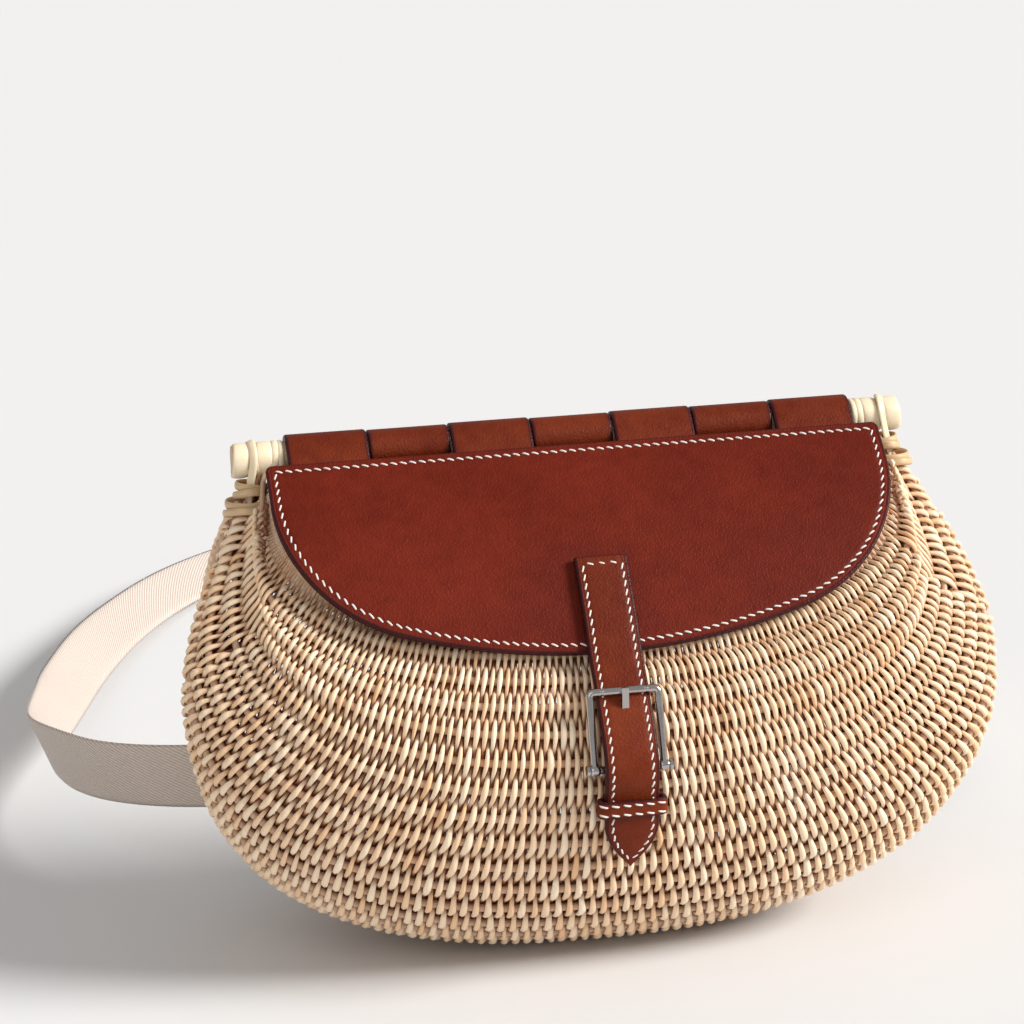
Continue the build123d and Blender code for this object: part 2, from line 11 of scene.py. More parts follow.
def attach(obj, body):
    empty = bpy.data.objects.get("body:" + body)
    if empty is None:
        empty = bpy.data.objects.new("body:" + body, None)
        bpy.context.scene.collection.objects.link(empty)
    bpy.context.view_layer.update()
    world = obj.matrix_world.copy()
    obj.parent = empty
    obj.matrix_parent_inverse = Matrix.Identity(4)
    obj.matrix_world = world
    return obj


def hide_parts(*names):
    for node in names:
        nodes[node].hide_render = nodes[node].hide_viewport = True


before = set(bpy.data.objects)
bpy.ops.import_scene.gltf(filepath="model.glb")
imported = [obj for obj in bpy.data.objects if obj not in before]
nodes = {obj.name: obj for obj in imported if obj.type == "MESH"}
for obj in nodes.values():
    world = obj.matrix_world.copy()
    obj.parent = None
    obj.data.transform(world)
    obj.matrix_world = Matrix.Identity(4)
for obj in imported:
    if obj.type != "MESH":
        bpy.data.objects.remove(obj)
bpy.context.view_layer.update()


# ---------------------------------------------------------------- woven basket
# Split willow weavers pass in front of and behind round stakes that run from one end of the top
# rod to the other, like the ribs of a melon. Extra stakes are let in where the rows grow wide, and
# every weaver is turned over the rod that borders the mouth.
ROD_AXIS = np.array([0.0, 27.0, 165.6])
BASKET_HALF, NECK_HALF = 138.4, 105.4
MIDDLE_RIB = [(53.0, 48.0), (64.0, 57.4), (75.0, 67.3), (83.0, 81.0), (86.0, 98.0), (83.0, 117.0),
              (75.0, 137.5), (60.0, 156.0), (39.0, 165.7), (12.0, 166.4), (-10.0, 157.5),
              (-20.0, 134.0), (-23.0, 103.0), (-19.5, 60.0), (-9.0, 22.0), (0.0, 0.0)]
RIB_SPREAD = [(0.0, 0.0), (0.12, 0.22), (0.28, 1.0), (0.45, 0.85), (0.70, 0.62), (1.0, 0.0)]
RIB_TURN = [(0.0, 0.34), (0.28, 0.50), (1.0, 0.50)]
RIB_SQUARENESS, RIB_SHOULDER = 2.45, 1.5
TOP_ROW = 0.975            # the weave stops here, just under the rod
STAKES = 36                # rows from the mouth round to the back
STAKE_RADIUS, STAKE_DEPTH = 1.35, 3.0    # its middle lies this far inside the woven surface
STAKE_REACH = 0.985        # share of a rib's half length, for a stake that runs into the neck
WEAVER_DEPTH = 0.74        # half thickness of a split weaver
WEAVERS = 249
WEAVER_STEP = 0.0073       # share of a rib's half length from one weaver to the next
STEPS = 5                  # mesh rows from stake to stake
RIM_INSET, RIM_RADIUS = 3.4, 1.5
chance = np.random.default_rng(11)


def distances(points):
    """Distance of each point along a line of points."""
    return np.concatenate([[0], np.cumsum(np.linalg.norm(np.diff(points, axis=0), axis=1))])


def smooth_curve(points, t):
    """Curve through the points with an even second derivative, a cubic on each span with natural
    ends, read at the shares t of the length of the straight lines between the points."""
    points = np.asarray(points, float)
    run = distances(points) / length_of(points)
    span = np.diff(run)[:, None]
    system = np.eye(len(points))
    inner = np.arange(1, len(points) - 1)
    system[inner, inner - 1] = span[:-1, 0]
    system[inner, inner] = 2 * (span[:-1, 0] + span[1:, 0])
    system[inner, inner + 1] = span[1:, 0]
    slope = np.diff(points, axis=0) / span
    pull = np.zeros_like(points)
    pull[1:-1] = 6 * np.diff(slope, axis=0)
    bend = np.linalg.solve(system, pull)
    k = np.clip(np.searchsorted(run, t) - 1, 0, len(span) - 1)
    b = (np.asarray(t)[:, None] - run[k][:, None]) / span[k]
    a = 1 - b
    return a * points[k] + b * points[k + 1] + ((a**3 - a) * bend[k] + (b**3 - b) * bend[k + 1]) * span[k]**2 / 6


def eased(knots, t):
    """Value at t between (place, value) knots, each span half a cosine wave."""
    places, values = np.array(knots).T
    k = np.clip(np.searchsorted(places, t) - 1, 0, len(places) - 2)
    share = (t - places[k]) / (places[k + 1] - places[k])
    return values[k] + (values[k + 1] - values[k]) * (1 - np.cos(np.pi * share)) / 2


def spaced(points, marks, run=None):
    """Points at the given distances along a line of points."""
    if run is None:
        run = distances(points)
    return np.column_stack([np.interp(marks, run, column) for column in points.T])


def length_of(points):
    """Length of a line of points."""
    return np.linalg.norm(np.diff(points, axis=0), axis=1).sum()


def unit(vectors):
    """The vectors at length 1."""
    return vectors / np.maximum(np.linalg.norm(vectors, axis=-1, keepdims=True), 1e-9)


def in_frame(x, forward, down):
    """Model points, in millimetres, for places along the rod and (forward, down) from its axis."""
    x, forward, down = np.broadcast_arrays(x, forward, down)
    return np.stack([x, ROD_AXIS[1] - forward, ROD_AXIS[2] - down], axis=-1)


def tube(path, side, half_width, half_depth, sides=6, ring=False):
    """Rods or flat strands along paths of shape (rods, rows, 3). Each row is an ellipse with its
    half depth along side and its half width square to side and to the path. Open ends close in a
    rounded tip: two rows drawn in, the last to a point."""
    if ring:
        along = unit(np.roll(path, -1, axis=1) - np.roll(path, 1, axis=1))
    else:
        along = unit(np.gradient(path, axis=1))
    across = unit(np.cross(along, side))
    out = np.cross(across, along)
    half_width = np.broadcast_to(half_width, path.shape[:2])[..., None, None]
    half_depth = np.broadcast_to(half_depth, path.shape[:2])[..., None, None]
    turn = (np.arange(sides) + 0.5) * 2 * np.pi / sides
    rows = (path[:, :, None] + across[:, :, None] * half_width * np.cos(turn)[:, None]
            + out[:, :, None] * half_depth * np.sin(turn)[:, None])
    if ring:
        return rows
    tips = []
    for end, way in ((0, -1), (-1, 1)):
        middle = path[:, end, None]
        step = along[:, end, None] * way * half_depth[:, end]
        tips.append(middle + (rows[:, end] - middle) * 0.6 + step * 0.7)
        tips.append(np.broadcast_to(middle + step, rows[:, end].shape))
    return np.concatenate([np.stack(tips[1::-1], axis=1), rows, np.stack(tips[2:], axis=1)], axis=1)


def skin(rows, ring=False):
    """Points and quads of closed surfaces given as (pieces, rows, columns, 3). Columns close on
    themselves; so do rows when ring is set. Quads are turned to face out by the sign of the
    volume that they enclose."""
    count, high, wide = rows.shape[:3]
    at = np.arange(count * high * wide).reshape(count, high, wide)
    right = np.roll(at, -1, axis=2)
    if ring:
        below, below_right = np.roll(at, -1, axis=1), np.roll(right, -1, axis=1)
    else:
        at, right, below, below_right = at[:, :-1], right[:, :-1], at[:, 1:], right[:, 1:]
    quads = np.stack([at, right, below_right, below], axis=-1).reshape(count, -1, 4)
    points = rows.reshape(-1, 3)
    for piece in range(count):
        a, b, c, d = (points[quads[piece, :, i]] - points[quads[piece, 0, 0]] for i in range(4))
        volume = (np.cross(a, b) * c).sum() + (np.cross(a, c) * d).sum()
        if volume < 0:
            quads[piece] = quads[piece, :, ::-1]
    return points, quads.reshape(-1, 4)


def piece(name, shapes, material, body, slot, replaces=(), notes=None):
    """One object from (points, quads) shapes in millimetres. Points that meet become one, a quad
    with two corners at one point becomes a triangle, and notes are float attributes by name."""
    points = np.concatenate([shape[0] for shape in shapes])
    starts = np.cumsum([0] + [len(shape[0]) for shape in shapes[:-1]])
    quads = np.concatenate([shape[1] + start for shape, start in zip(shapes, starts)])
    _, first, index = np.unique(np.round(points, 4), axis=0, return_index=True, return_inverse=True)
    quads = index.reshape(-1)[quads]
    keep = quads != np.roll(quads, 1, axis=1)
    corners = keep.sum(axis=1)
    keep, quads, corners = keep[corners > 2], quads[corners > 2], corners[corners > 2]
    mesh = bpy.data.meshes.new(name)
    mesh.vertices.add(len(first))
    mesh.vertices.foreach_set("co", (points[first] / 1000).astype(np.float32).ravel())
    mesh.loops.add(int(corners.sum()))
    mesh.loops.foreach_set("vertex_index", quads[keep].astype(np.int32))
    mesh.polygons.add(len(corners))
    mesh.polygons.foreach_set("loop_start", np.concatenate([[0], np.cumsum(corners)[:-1]]).astype(np.int32))
    mesh.polygons.foreach_set("use_smooth", np.ones(len(corners), bool))
    mesh.update(calc_edges=True)
    for note, values in (notes or {}).items():
        level = values.ravel()[first].astype(np.float32)
        mesh.attributes.new(note, "FLOAT", "POINT").data.foreach_set("value", level)
    mesh.materials.append(material)
    made = bpy.data.objects.new(name, mesh)
    bpy.context.scene.collection.objects.link(made)
    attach(made, body)
    if replaces:
        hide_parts(*replaces)
    return made


class Reading:
    """A shader socket that can be used in sums, with numbers or other sockets."""

    def __init__(self, finish, socket):
        self.finish, self.socket = finish, socket

    def sum(self, operation, *values):
        return self.finish.node("ShaderNodeMath", {"operation": operation}, dict(enumerate(values)))

    def __add__(self, other): return self.sum("ADD", self, other)
    def __radd__(self, other): return self.sum("ADD", other, self)
    def __sub__(self, other): return self.sum("SUBTRACT", self, other)
    def __mul__(self, other): return self.sum("MULTIPLY", self, other)


class Finish:
    """A material and its nodes."""

    def __init__(self, name):
        self.material = bpy.data.materials.new(name)
        self.material.use_nodes = True
        self.tree = self.material.node_tree
        self.tree.nodes.clear()

    def node(self, kind, settings, inputs, output=0):
        """Adds a node: its type, its settings, its sockets' values or links. Gives one output."""
        made = self.tree.nodes.new(kind)
        for key, value in settings.items():
            if key == "stops":
                while len(made.color_ramp.elements) < len(value):
                    made.color_ramp.elements.new(0.5)
                for element, (place, level) in zip(made.color_ramp.elements, value):
                    element.position, element.color = place, (level, level, level, 1)
            else:
                setattr(made, key, value)
        for key, value in inputs.items():
            if isinstance(value, Reading):
                self.tree.links.new(value.socket, made.inputs[key])
            else:
                made.inputs[key].default_value = value
        return Reading(self, made.outputs[output])

    def note(self, name):
        """A float attribute of the mesh."""
        return self.node("ShaderNodeAttribute", {"attribute_name": name}, {}, 2)

    def place(self):
        """Object coordinates, in metres."""
        return self.node("ShaderNodeTexCoord", {}, {}, 3)

    def noise(self, vector, scale, detail=2.0, rough=0.5):
        """Soft noise from 0 to 1."""
        return self.node("ShaderNodeTexNoise", {}, {
            "Vector": vector, "Scale": scale, "Detail": detail, "Roughness": rough})

    def steps(self, value, *stops):
        """A value read through (place, level) stops."""
        return self.node("ShaderNodeValToRGB", {"stops": stops}, {"Fac": value})

    def joined(self, x, y, z):
        """A vector of three values."""
        return self.node("ShaderNodeCombineXYZ", {}, {0: x, 1: y, 2: z})

    def mixed(self, share, first, second):
        """A colour between two."""
        return self.node("ShaderNodeMix", {"data_type": "RGBA"}, {0: share, 6: first, 7: second}, 2)

    def raised(self, height, distance, strength=1.0):
        """Surface normal of a height, in metres times distance."""
        return self.node("ShaderNodeBump", {}, {"Strength": strength, "Distance": distance, "Height": height})

    def surface(self, **inputs):
        """Ends the material with one surface shader."""
        inputs = {key.replace("_", " "): value for key, value in inputs.items()}
        shader = self.node("ShaderNodeBsdfPrincipled", {}, inputs)
        end = self.tree.nodes.new("ShaderNodeOutputMaterial")
        self.tree.links.new(shader.socket, end.inputs["Surface"])
        return self.material


def basket_surface(shares):
    """Outer surface of the basket on a grid of rows from mouth to back and the given shares of a
    rib's half length. A rib lies in a plane through the rod: its lower half is a squared ellipse out
    to its own half width, its upper half runs back to the neck in a power curve, and both are
    shares of the rib's reach at the middle."""
    t = np.linspace(0, TOP_ROW, 200)
    reach = smooth_curve(MIDDLE_RIB, t)
    half = (NECK_HALF + (BASKET_HALF - NECK_HALF) * np.maximum(eased(RIB_SPREAD, t), 0.002))[:, None]
    turn = eased(RIB_TURN, t)[:, None]
    sweep = np.linspace(0, np.pi / 2, 90)
    climb = np.linspace(0, 1, 61)[1:]
    x = np.hstack([half * np.sin(sweep) ** (2 / RIB_SQUARENESS),
                   NECK_HALF + (half - NECK_HALF) * (1 - climb ** RIB_SHOULDER)])
    share = np.hstack([turn + (1 - turn) * np.abs(np.cos(sweep)) ** (2 / RIB_SQUARENESS), turn * (1 - climb)])
    ribs = in_frame(x, share * reach[:, :1], share * reach[:, 1:])
    rows = np.stack([spaced(rib, np.abs(shares) * length_of(rib)) for rib in ribs])
    rows[..., 0] *= np.sign(shares)
    return rows


def even_rows(lines, count):
    """Each line of a (rows, lines, 3) grid read at count places evenly spaced along it."""
    return np.stack([spaced(lines[:, i], np.linspace(0, 1, count) * length_of(lines[:, i]))
                     for i in range(lines.shape[1])])


weaver_place = (np.arange(WEAVERS) - WEAVERS // 2) * WEAVER_STEP
rows = STAKES * STEPS + 1
outer = even_rows(basket_surface(weaver_place + 1e-6), rows)
down_wall = np.gradient(outer, axis=1)
to_next = np.gradient(outer, axis=0)
outward = unit(np.cross(to_next, down_wall))
if outward[WEAVERS // 2, rows // 4, 1] > 0:
    outward = -outward
pitch = np.linalg.norm(to_next, axis=-1)
weaver_length = np.linalg.norm(np.diff(outer, axis=1), axis=-1).sum(axis=1)
# stakes met by a weaver: fewer towards the necks
stakes_met = np.select([weaver_length > 190, weaver_length > 95, weaver_length > 48], [36, 18, 9], 3)

row_place = np.linspace(0, 1, rows)
wave = np.cos(np.pi * (row_place * stakes_met[:, None] + np.arange(WEAVERS)[:, None]))
passes = np.floor(row_place * stakes_met[:, None] + 0.5).astype(int)
strand_tone = chance.normal(0, 1, WEAVERS)[:, None]
pass_tone = np.take_along_axis(chance.normal(0, 1, (WEAVERS, STAKES + 1)), passes, axis=1)
pass_width = np.take_along_axis(chance.normal(0, 1, (WEAVERS, STAKES + 1)), passes, axis=1)
pass_shift = np.take_along_axis(chance.normal(0, 1, (WEAVERS, STAKES + 1)), passes, axis=1)
settle = np.clip(row_place * STAKES, 0, 1)
lift = (STAKE_RADIUS + WEAVER_DEPTH) * wave * settle * (1 - 0.05 * np.abs(pass_shift) * wave**2)
weave = outer + outward * (lift - STAKE_DEPTH)[..., None] + to_next * (0.1 * pass_shift * wave**2)[..., None]
half_width = pitch * (0.46 + 0.20 * wave**2) * (1 + 0.07 * strand_tone + 0.09 * pass_width)
half_width = np.clip(half_width, 0.4, 1.45)

# the turn over the mouth's rod: from outside, over the top and down inside
edge_along = unit(np.gradient(outer[:, 0], axis=0))
mouth_up = unit(np.array([0.0, -48.0, 53.0]))
edge_out = unit(np.cross(edge_along, mouth_up))
edge_out *= np.sign((edge_out * (outer[:, 0] - ROD_AXIS)).sum(axis=-1, keepdims=True))
rim = outer[:, 0] - edge_out * RIM_INSET
angles = np.radians([215, 175, 135, 95, 55, 15, -20])
over_rim = rim[:, None] + (RIM_RADIUS + 0.35) * (edge_out[:, None] * np.cos(angles)[:, None]
                                                + mouth_up * np.sin(angles)[:, None])
turned = np.concatenate([over_rim, weave], axis=1)
turned[..., 2] = np.maximum(turned[..., 2], WEAVER_DEPTH + 0.05)
side = np.concatenate([unit(over_rim - rim[:, None]), outward], axis=1)
turn_rows = len(angles)
wide = np.concatenate([np.repeat(half_width[:, :1] * 0.9, turn_rows, axis=1), half_width], axis=1)
deep = np.concatenate([np.full((WEAVERS, turn_rows), 0.4), np.full((WEAVERS, rows), WEAVER_DEPTH)], axis=1)
strands = tube(turned, side, wide, deep)
strands[..., 2] = np.maximum(strands[..., 2], 0.0)


def spread(values):
    """Row values of the weave carried to every point of the strands, with their turned ends."""
    values = np.broadcast_to(values, (WEAVERS, rows))
    first, last = np.repeat(values[:, :1], turn_rows + 2, axis=1), np.repeat(values[:, -1:], 2, axis=1)
    return np.repeat(np.concatenate([first, values, last], axis=1)[..., None], 6, axis=2)


weave_notes = {
    "tone": spread(0.5 + 0.16 * strand_tone + 0.13 * pass_tone),
    # inward: how far each pass dips behind a stake; it sets the painted brown shade
    "inward": spread(0.5 - 0.5 * wave * settle),
    "along": spread(row_place * weaver_length[:, None] / 1000),
    "strand": spread(np.arange(WEAVERS)[:, None] * 0.37),
}


def willow(name, pale, warm, brown, rough):
    """Split willow: a pale to honey skin that changes from strand to strand and along each one, with
    fine fibres, painted shade in deep brown where a strand dips behind a stake, and a thin natural gloss."""
    finish = Finish(name)
    tone, inward = finish.note("tone"), finish.note("inward")
    along, strand = finish.note("along"), finish.note("strand")
    patch = finish.noise(finish.joined(along * 40, strand * 9, 0.0), 1.0, 3.0)
    waver = finish.noise(finish.place(), 900.0, 2.0) * 3
    fibre = finish.noise(finish.joined(along * 90, strand * 31, waver), 1.0, 4.0, 0.7)
    skin_tone = finish.steps(tone * 0.7 + patch * 0.5 - 0.1, (0.1, 0.0), (0.85, 1.0))
    colour = finish.mixed(skin_tone, warm, pale)
    colour = finish.mixed(finish.steps(fibre, (0.35, 0.30), (0.6, 0.0)), colour, warm)
    # painted shade: the deeper a pass lies behind a stake, the more it turns deep brown
    colour = finish.mixed(finish.steps(inward, (0.3, 0.0), (0.8, 0.92)), colour, brown)
    return finish.surface(
        Base_Color=colour, Roughness=rough + fibre * 0.18, Coat_Weight=0.12, Coat_Roughness=0.3,
        Normal=finish.raised(fibre + patch * 0.4, 0.00012, 0.6))


# the third colour is painted shade: the deep brown of a strand dipped behind a stake
wicker = willow("split_willow", (0.98, 0.84, 0.64, 1), (0.84, 0.51, 0.27, 1), (0.25, 0.055, 0.017, 1), 0.34)
thirds = np.array_split(np.arange(WEAVERS), 3)
for label, members in zip(("left", "middle", "right"), thirds):
    piece("weavers_" + label, [skin(strands[members])], wicker, "basket", "wicker",
          ("basket_shell",) if label == "middle" else (),
          {note: values[members] for note, values in weave_notes.items()})

# stakes: every fourth runs into the neck, the others stop where the weave no longer counts them
stake_at = np.arange(1, STAKES) * STEPS
half_reach, short_reach = (np.abs(weaver_place[weaver_length > length]).max() for length in (95, 190))
reaches = np.where(stake_at % (4 * STEPS) == 0, STAKE_REACH,
                   np.where(stake_at % (2 * STEPS) == 0, half_reach, short_reach))
stake_places = np.linspace(-STAKE_REACH, STAKE_REACH, 141)
stake_outer = even_rows(basket_surface(stake_places + 1e-6), rows)
stake_out = unit(np.cross(np.gradient(stake_outer, axis=0), np.gradient(stake_outer, axis=1)))
if stake_out[70, rows // 4, 1] > 0:
    stake_out = -stake_out
core = stake_outer - stake_out * STAKE_DEPTH
stake_paths, stake_sides = (
    np.stack([spaced(grid[:, at], np.linspace(-reach, reach, 110), stake_places)
              for at, reach in zip(stake_at, reaches)])
    for grid in (core, stake_out))
thin = STAKE_RADIUS * (1 - 0.45 * np.abs(np.linspace(-1, 1, 110)) ** 6)
stake_rods = tube(stake_paths, stake_sides, thin, thin, 8)
stake_rods[..., 2] = np.maximum(stake_rods[..., 2], 1.2)
stake_tone = np.repeat(chance.uniform(0.2, 0.8, len(stake_at)), stake_rods[0, ..., 0].size)
# stakes lie behind the weavers and get a fixed share of painted brown shade
stake_notes = {"tone": stake_tone, "inward": np.full(stake_tone.shape, 0.55),
               "along": np.tile(np.repeat(np.arange(stake_rods.shape[1]), 8) * 0.004, len(stake_at)),
               "strand": stake_tone * 40}
piece("stakes", [skin(stake_rods)], wicker, "basket", "wicker", (), stake_notes)

rim_rod = tube(rim[None], np.broadcast_to(mouth_up, rim[None].shape), RIM_RADIUS, RIM_RADIUS, 10)
# the border rod gets a little painted brown shade as well
piece("border_rod", [skin(rim_rod)], wicker, "basket", "rod", ("mouth_rim",),
      {"tone": np.full(rim_rod.shape[:3], 0.6), "inward": np.full(rim_rod.shape[:3], 0.4),
       "along": np.full(rim_rod.shape[:3], 0.1), "strand": np.full(rim_rod.shape[:3], 3.0)})


# ---------------------------------------------------------------- rod ends and necks
# The ends of the willow rod are wound with flat split cane, one strand of which is carried down
# and bound round the gathered stakes, so that it ties each neck of the basket to the rod.
CANE_RADIUS = 5.42
# each turn of cane: its place along the rod, its half width and its tilt
CANE_TURNS = [(111.3, 2.75, 0.5), (107.4, 1.35, -0.9), (103.6, 2.7, 0.35), (99.9, 1.2, 0.2), (98.0, 0.9, 0.1)]
# each turn of the lashing: its distance from the rod and its half width
NECK_TURNS = [(8.6, 1.35), (11.3, 1.45), (14.2, 1.4), (17.2, 1.3)]
NECK_LEAN = np.radians(77)
round_rod = np.linspace(0, 2 * np.pi, 48, endpoint=False)
cane_finish = willow("split_cane", (0.95, 0.83, 0.62, 1), (0.80, 0.60, 0.36, 1), (0.42, 0.22, 0.10, 1), 0.30)
lashing_finish = willow("neck_lashing", (0.78, 0.57, 0.33, 1), (0.50, 0.29, 0.13, 1), (0.22, 0.09, 0.035, 1), 0.36)


def cane_notes(rows, tone):
    """Attributes of a wound strand: an even tone, a painted shade level too low to darken it, and the distance
    along it.
    """
    count, high, wide = rows.shape[:3]
    along = np.broadcast_to(np.arange(high)[None, :, None] * 0.0008, (count, high, wide))
    lane = np.broadcast_to(np.arange(wide) * 0.23, (count, high, wide))
    return {"tone": np.full(along.shape, tone), "inward": np.full(along.shape, 0.1),
            "along": along, "strand": lane}


for label, way in (("left", -1), ("right", 1)):
    place, half, tilt = (np.array(column)[:, None] for column in zip(*CANE_TURNS))
    turn_x = way * (place + tilt * np.sin(round_rod + 0.6))
    crown = CANE_RADIUS + 0.06 * np.sin(3 * round_rod + place)
    turns = in_frame(turn_x, crown * np.cos(round_rod), crown * np.sin(round_rod))
    facing_out = unit(turns - in_frame(turn_x, 0.0, 0.0))
    bands = tube(turns, facing_out, half, 0.5, 12, ring=True)
    piece("rod_cane_" + label, [skin(bands, True)], cane_finish, "basket", "cane", ("rod_binding_" + label,),
          cane_notes(bands, 0.75))

    away, girth = (np.array(column)[:, None] for column in zip(*NECK_TURNS))
    x = way * (NECK_HALF + 0.33 * away + (0.30 * away + 1.9) * np.cos(round_rod) + 0.5 * np.sin(round_rod + away))
    swing = (0.52 * away + 1.9) * np.sin(round_rod)
    radial = away + 0.9 * np.cos(round_rod + away)
    loops = in_frame(x, np.cos(NECK_LEAN) * radial - np.sin(NECK_LEAN) * swing,
                     np.sin(NECK_LEAN) * radial + np.cos(NECK_LEAN) * swing)
    inside = loops.mean(axis=1, keepdims=True)
    lashing = tube(loops, unit(loops - inside), girth, 0.6, 8, ring=True)
    piece("neck_lashing_" + label, [skin(lashing, True)], lashing_finish, "basket", "cane",
          ("neck_band_" + label,), cane_notes(lashing, 0.6))

    carried = smooth_curve([(way * 108.6, -4.0, -4.4), (way * 107.6, 1.2, -6.2), (way * 107.3, 5.6, -2.6),
                            (way * 108.0, 6.4, 2.6), (way * 109.4, 7.0, 9.0), (way * 110.6, 8.2, 16.5)],
                           np.linspace(0, 1, 40))
    ribbon = in_frame(carried[:, 0], carried[:, 1], carried[:, 2])[None]
    peeled = tube(ribbon, unit(ribbon - in_frame(way * 104.0, 0.0, ribbon[..., 2] * 0 + 3.0)), 1.5, 0.42, 8)
    piece("carried_strand_" + label, [skin(peeled)], cane_finish, "basket", "cane", (), cane_notes(peeled, 0.6))


def cover(name, material):
    """Gives a part from the frame its material."""
    nodes[name].data.materials.clear()
    nodes[name].data.materials.append(material)


rod_finish = Finish("peeled_rod")
rod_place = rod_finish.place()
rod_grain = rod_finish.noise(rod_place, 260.0, 4.0)
rod_rings = rod_finish.noise(rod_place, 1400.0, 3.0)
peeled_rod = rod_finish.surface(
    Base_Color=rod_finish.mixed(rod_finish.steps(rod_grain * 0.7 + rod_rings * 0.3, (0.3, 0.0), (0.7, 1.0)),
                                (0.42, 0.24, 0.12, 1), (0.80, 0.62, 0.40, 1)),
    Roughness=0.45 + rod_rings * 0.2, Normal=rod_finish.raised(rod_rings, 0.0001))
cover("top_rod", peeled_rod)


# ---------------------------------------------------------------- flap
# Two layers of chestnut leather cut to one D shape, glued, saddle-stitched round the edge in white
# linen and then creased, with the cut edge rounded and painted dark.
FLAP_TOP, FLAP_FOOT = np.array([9.9, -0.6]), np.array([66.4, 54.4])
FLAP_CROWN = 3.5
FLAP_HALF, FLAP_CORNER, FLAP_BOW = 104.2, 55.0, 210.0
FLAP_START, TOP_CORNER = 0.3, 2.2        # top edge of the outer layer, just below the eyes
FLAP_OUTER, FLAP_LINING = 1.8, 1.4
LINING_START = 13.8
STITCH_INSET, STITCH_PITCH = 2.9, 3.15
STITCH_LENGTH, STITCH_RADIUS = 2.55, 0.34
STITCH_SLANT = np.radians(24)
UNEVENNESS = 0.16          # of the hide, in and out
flap_length = np.linalg.norm(FLAP_FOOT - FLAP_TOP)
flap_along = (FLAP_FOOT - FLAP_TOP) / flap_length
flap_out = np.array([flap_along[1], -flap_along[0]])
flap_radius = (flap_length**2 / 4 + FLAP_CROWN**2) / (2 * FLAP_CROWN)


def on_flap(u, w):
    """(forward, down) at u along the flap's face from its top and w out from it: an arc that bows
    out by the crown, lifted near the top where it lies over the eyes."""
    turn = (u - flap_length / 2) / flap_radius
    radius = flap_radius + w + 0.045 * np.maximum(3.0 - u, 0.0) ** 2
    along = flap_length / 2 + radius * np.sin(turn)
    out = radius * np.cos(turn) - flap_radius + FLAP_CROWN
    return FLAP_TOP + flap_along * along[..., None] + flap_out * out[..., None]


def d_line(inset, top):
    """The D outline drawn in by inset, as (x, u) points: a straight top with two small corners,
    straight sides, two corner arcs and a bowed lower edge."""
    half, depth = FLAP_HALF - inset, flap_length - inset
    corner, bow = FLAP_CORNER - inset, FLAP_BOW - inset
    start, small = top + inset, max(TOP_CORNER - inset, 0.15)
    rise = np.sqrt((bow - corner) ** 2 - (half - corner) ** 2)
    corner_y = depth - bow + rise
    open_angle = np.arctan2(half - corner, rise)
    top_x = np.linspace(0, half - small, 60)
    small_turn = np.linspace(0, np.pi / 2, 7)[1:]
    side_y = np.linspace(start + small, corner_y, 16)[1:]
    corner_turn = np.linspace(np.pi / 2, open_angle, 46)[1:]
    bow_turn = np.linspace(open_angle, 0, 50)[1:]
    right = np.concatenate([
        np.column_stack([top_x, np.full(top_x.shape, start)]),
        np.column_stack([half - small + small * np.sin(small_turn), start + small - small * np.cos(small_turn)]),
        np.column_stack([np.full(side_y.shape, half), side_y]),
        np.column_stack([half - corner + corner * np.sin(corner_turn), corner_y + corner * np.cos(corner_turn)]),
        np.column_stack([bow * np.sin(bow_turn), depth - bow + bow * np.cos(bow_turn)])])
    return np.concatenate([right, (right * (-1, 1))[-2:0:-1]])


def d_layer(face, back, top, edge, tooled):
    """One layer of the flap as rings of the D outline: out from a point in the middle of its face,
    round the edge and in to the middle of its back. A tooled face has a creased line by the edge, a
    shallow groove under the stitches and a slight unevenness of the hide."""
    middle = np.array([0.0, (top + flap_length) / 2])
    soft = min(0.75, (face - back) * 0.45)
    bevel = [(edge + soft * (1 - np.sin(a)), face - soft * (1 - np.cos(a))) for a in np.linspace(0, np.pi / 2, 6)]
    tool = [(edge + 1.15, -0.02), (edge + 1.35, -0.13), (edge + 1.55, -0.02), (2.3, 0.0), (2.65, -0.12),
            (2.9, -0.2), (3.15, -0.12), (3.5, 0.0), (4.5, 0.0), (6.0, 0.0), (8.0, 0.0), (10.0, 0.0)]
    core = 13.0 if tooled else 1.6
    front = [(inset, face + (dip if tooled else 0.0)) for inset, dip in tool if inset < core]
    rings, marks = [], []

    def add(inset, w, share=1.0, painted=0.0):
        line = middle + (d_line(inset, top) - middle) * share
        uneven = UNEVENNESS * np.sin(line[:, 0] / 17.0 + 1) * np.sin(line[:, 1] / 13.0) if tooled else 0.0
        depth = w + uneven * min(inset / 10, 1)
        rings.append(np.column_stack([line[:, 0], line[:, 1], np.broadcast_to(depth, len(line))]))
        marks.append(painted * np.where(line[:, 1] < top + inset + 0.3, 0.45, 1.0))

    for share in (0.0, 0.12, 0.25, 0.38, 0.5, 0.62, 0.74, 0.85, 0.94, 1.0):
        add(core, face, share)
    for inset, w in front[::-1]:
        add(inset, w)
    for inset, w in bevel:
        add(inset, w, painted=1.0)
    for inset, w in bevel[::-1]:
        add(inset, face + back - w, painted=1.0)
    for share in (1.0, 0.85, 0.5, 0.0):
        add(core, back, share)
    rings = np.array(rings)
    at = on_flap(rings[..., 1], rings[..., 2])
    return in_frame(rings[..., 0], at[..., 0], at[..., 1])[None], np.array(marks)[None]


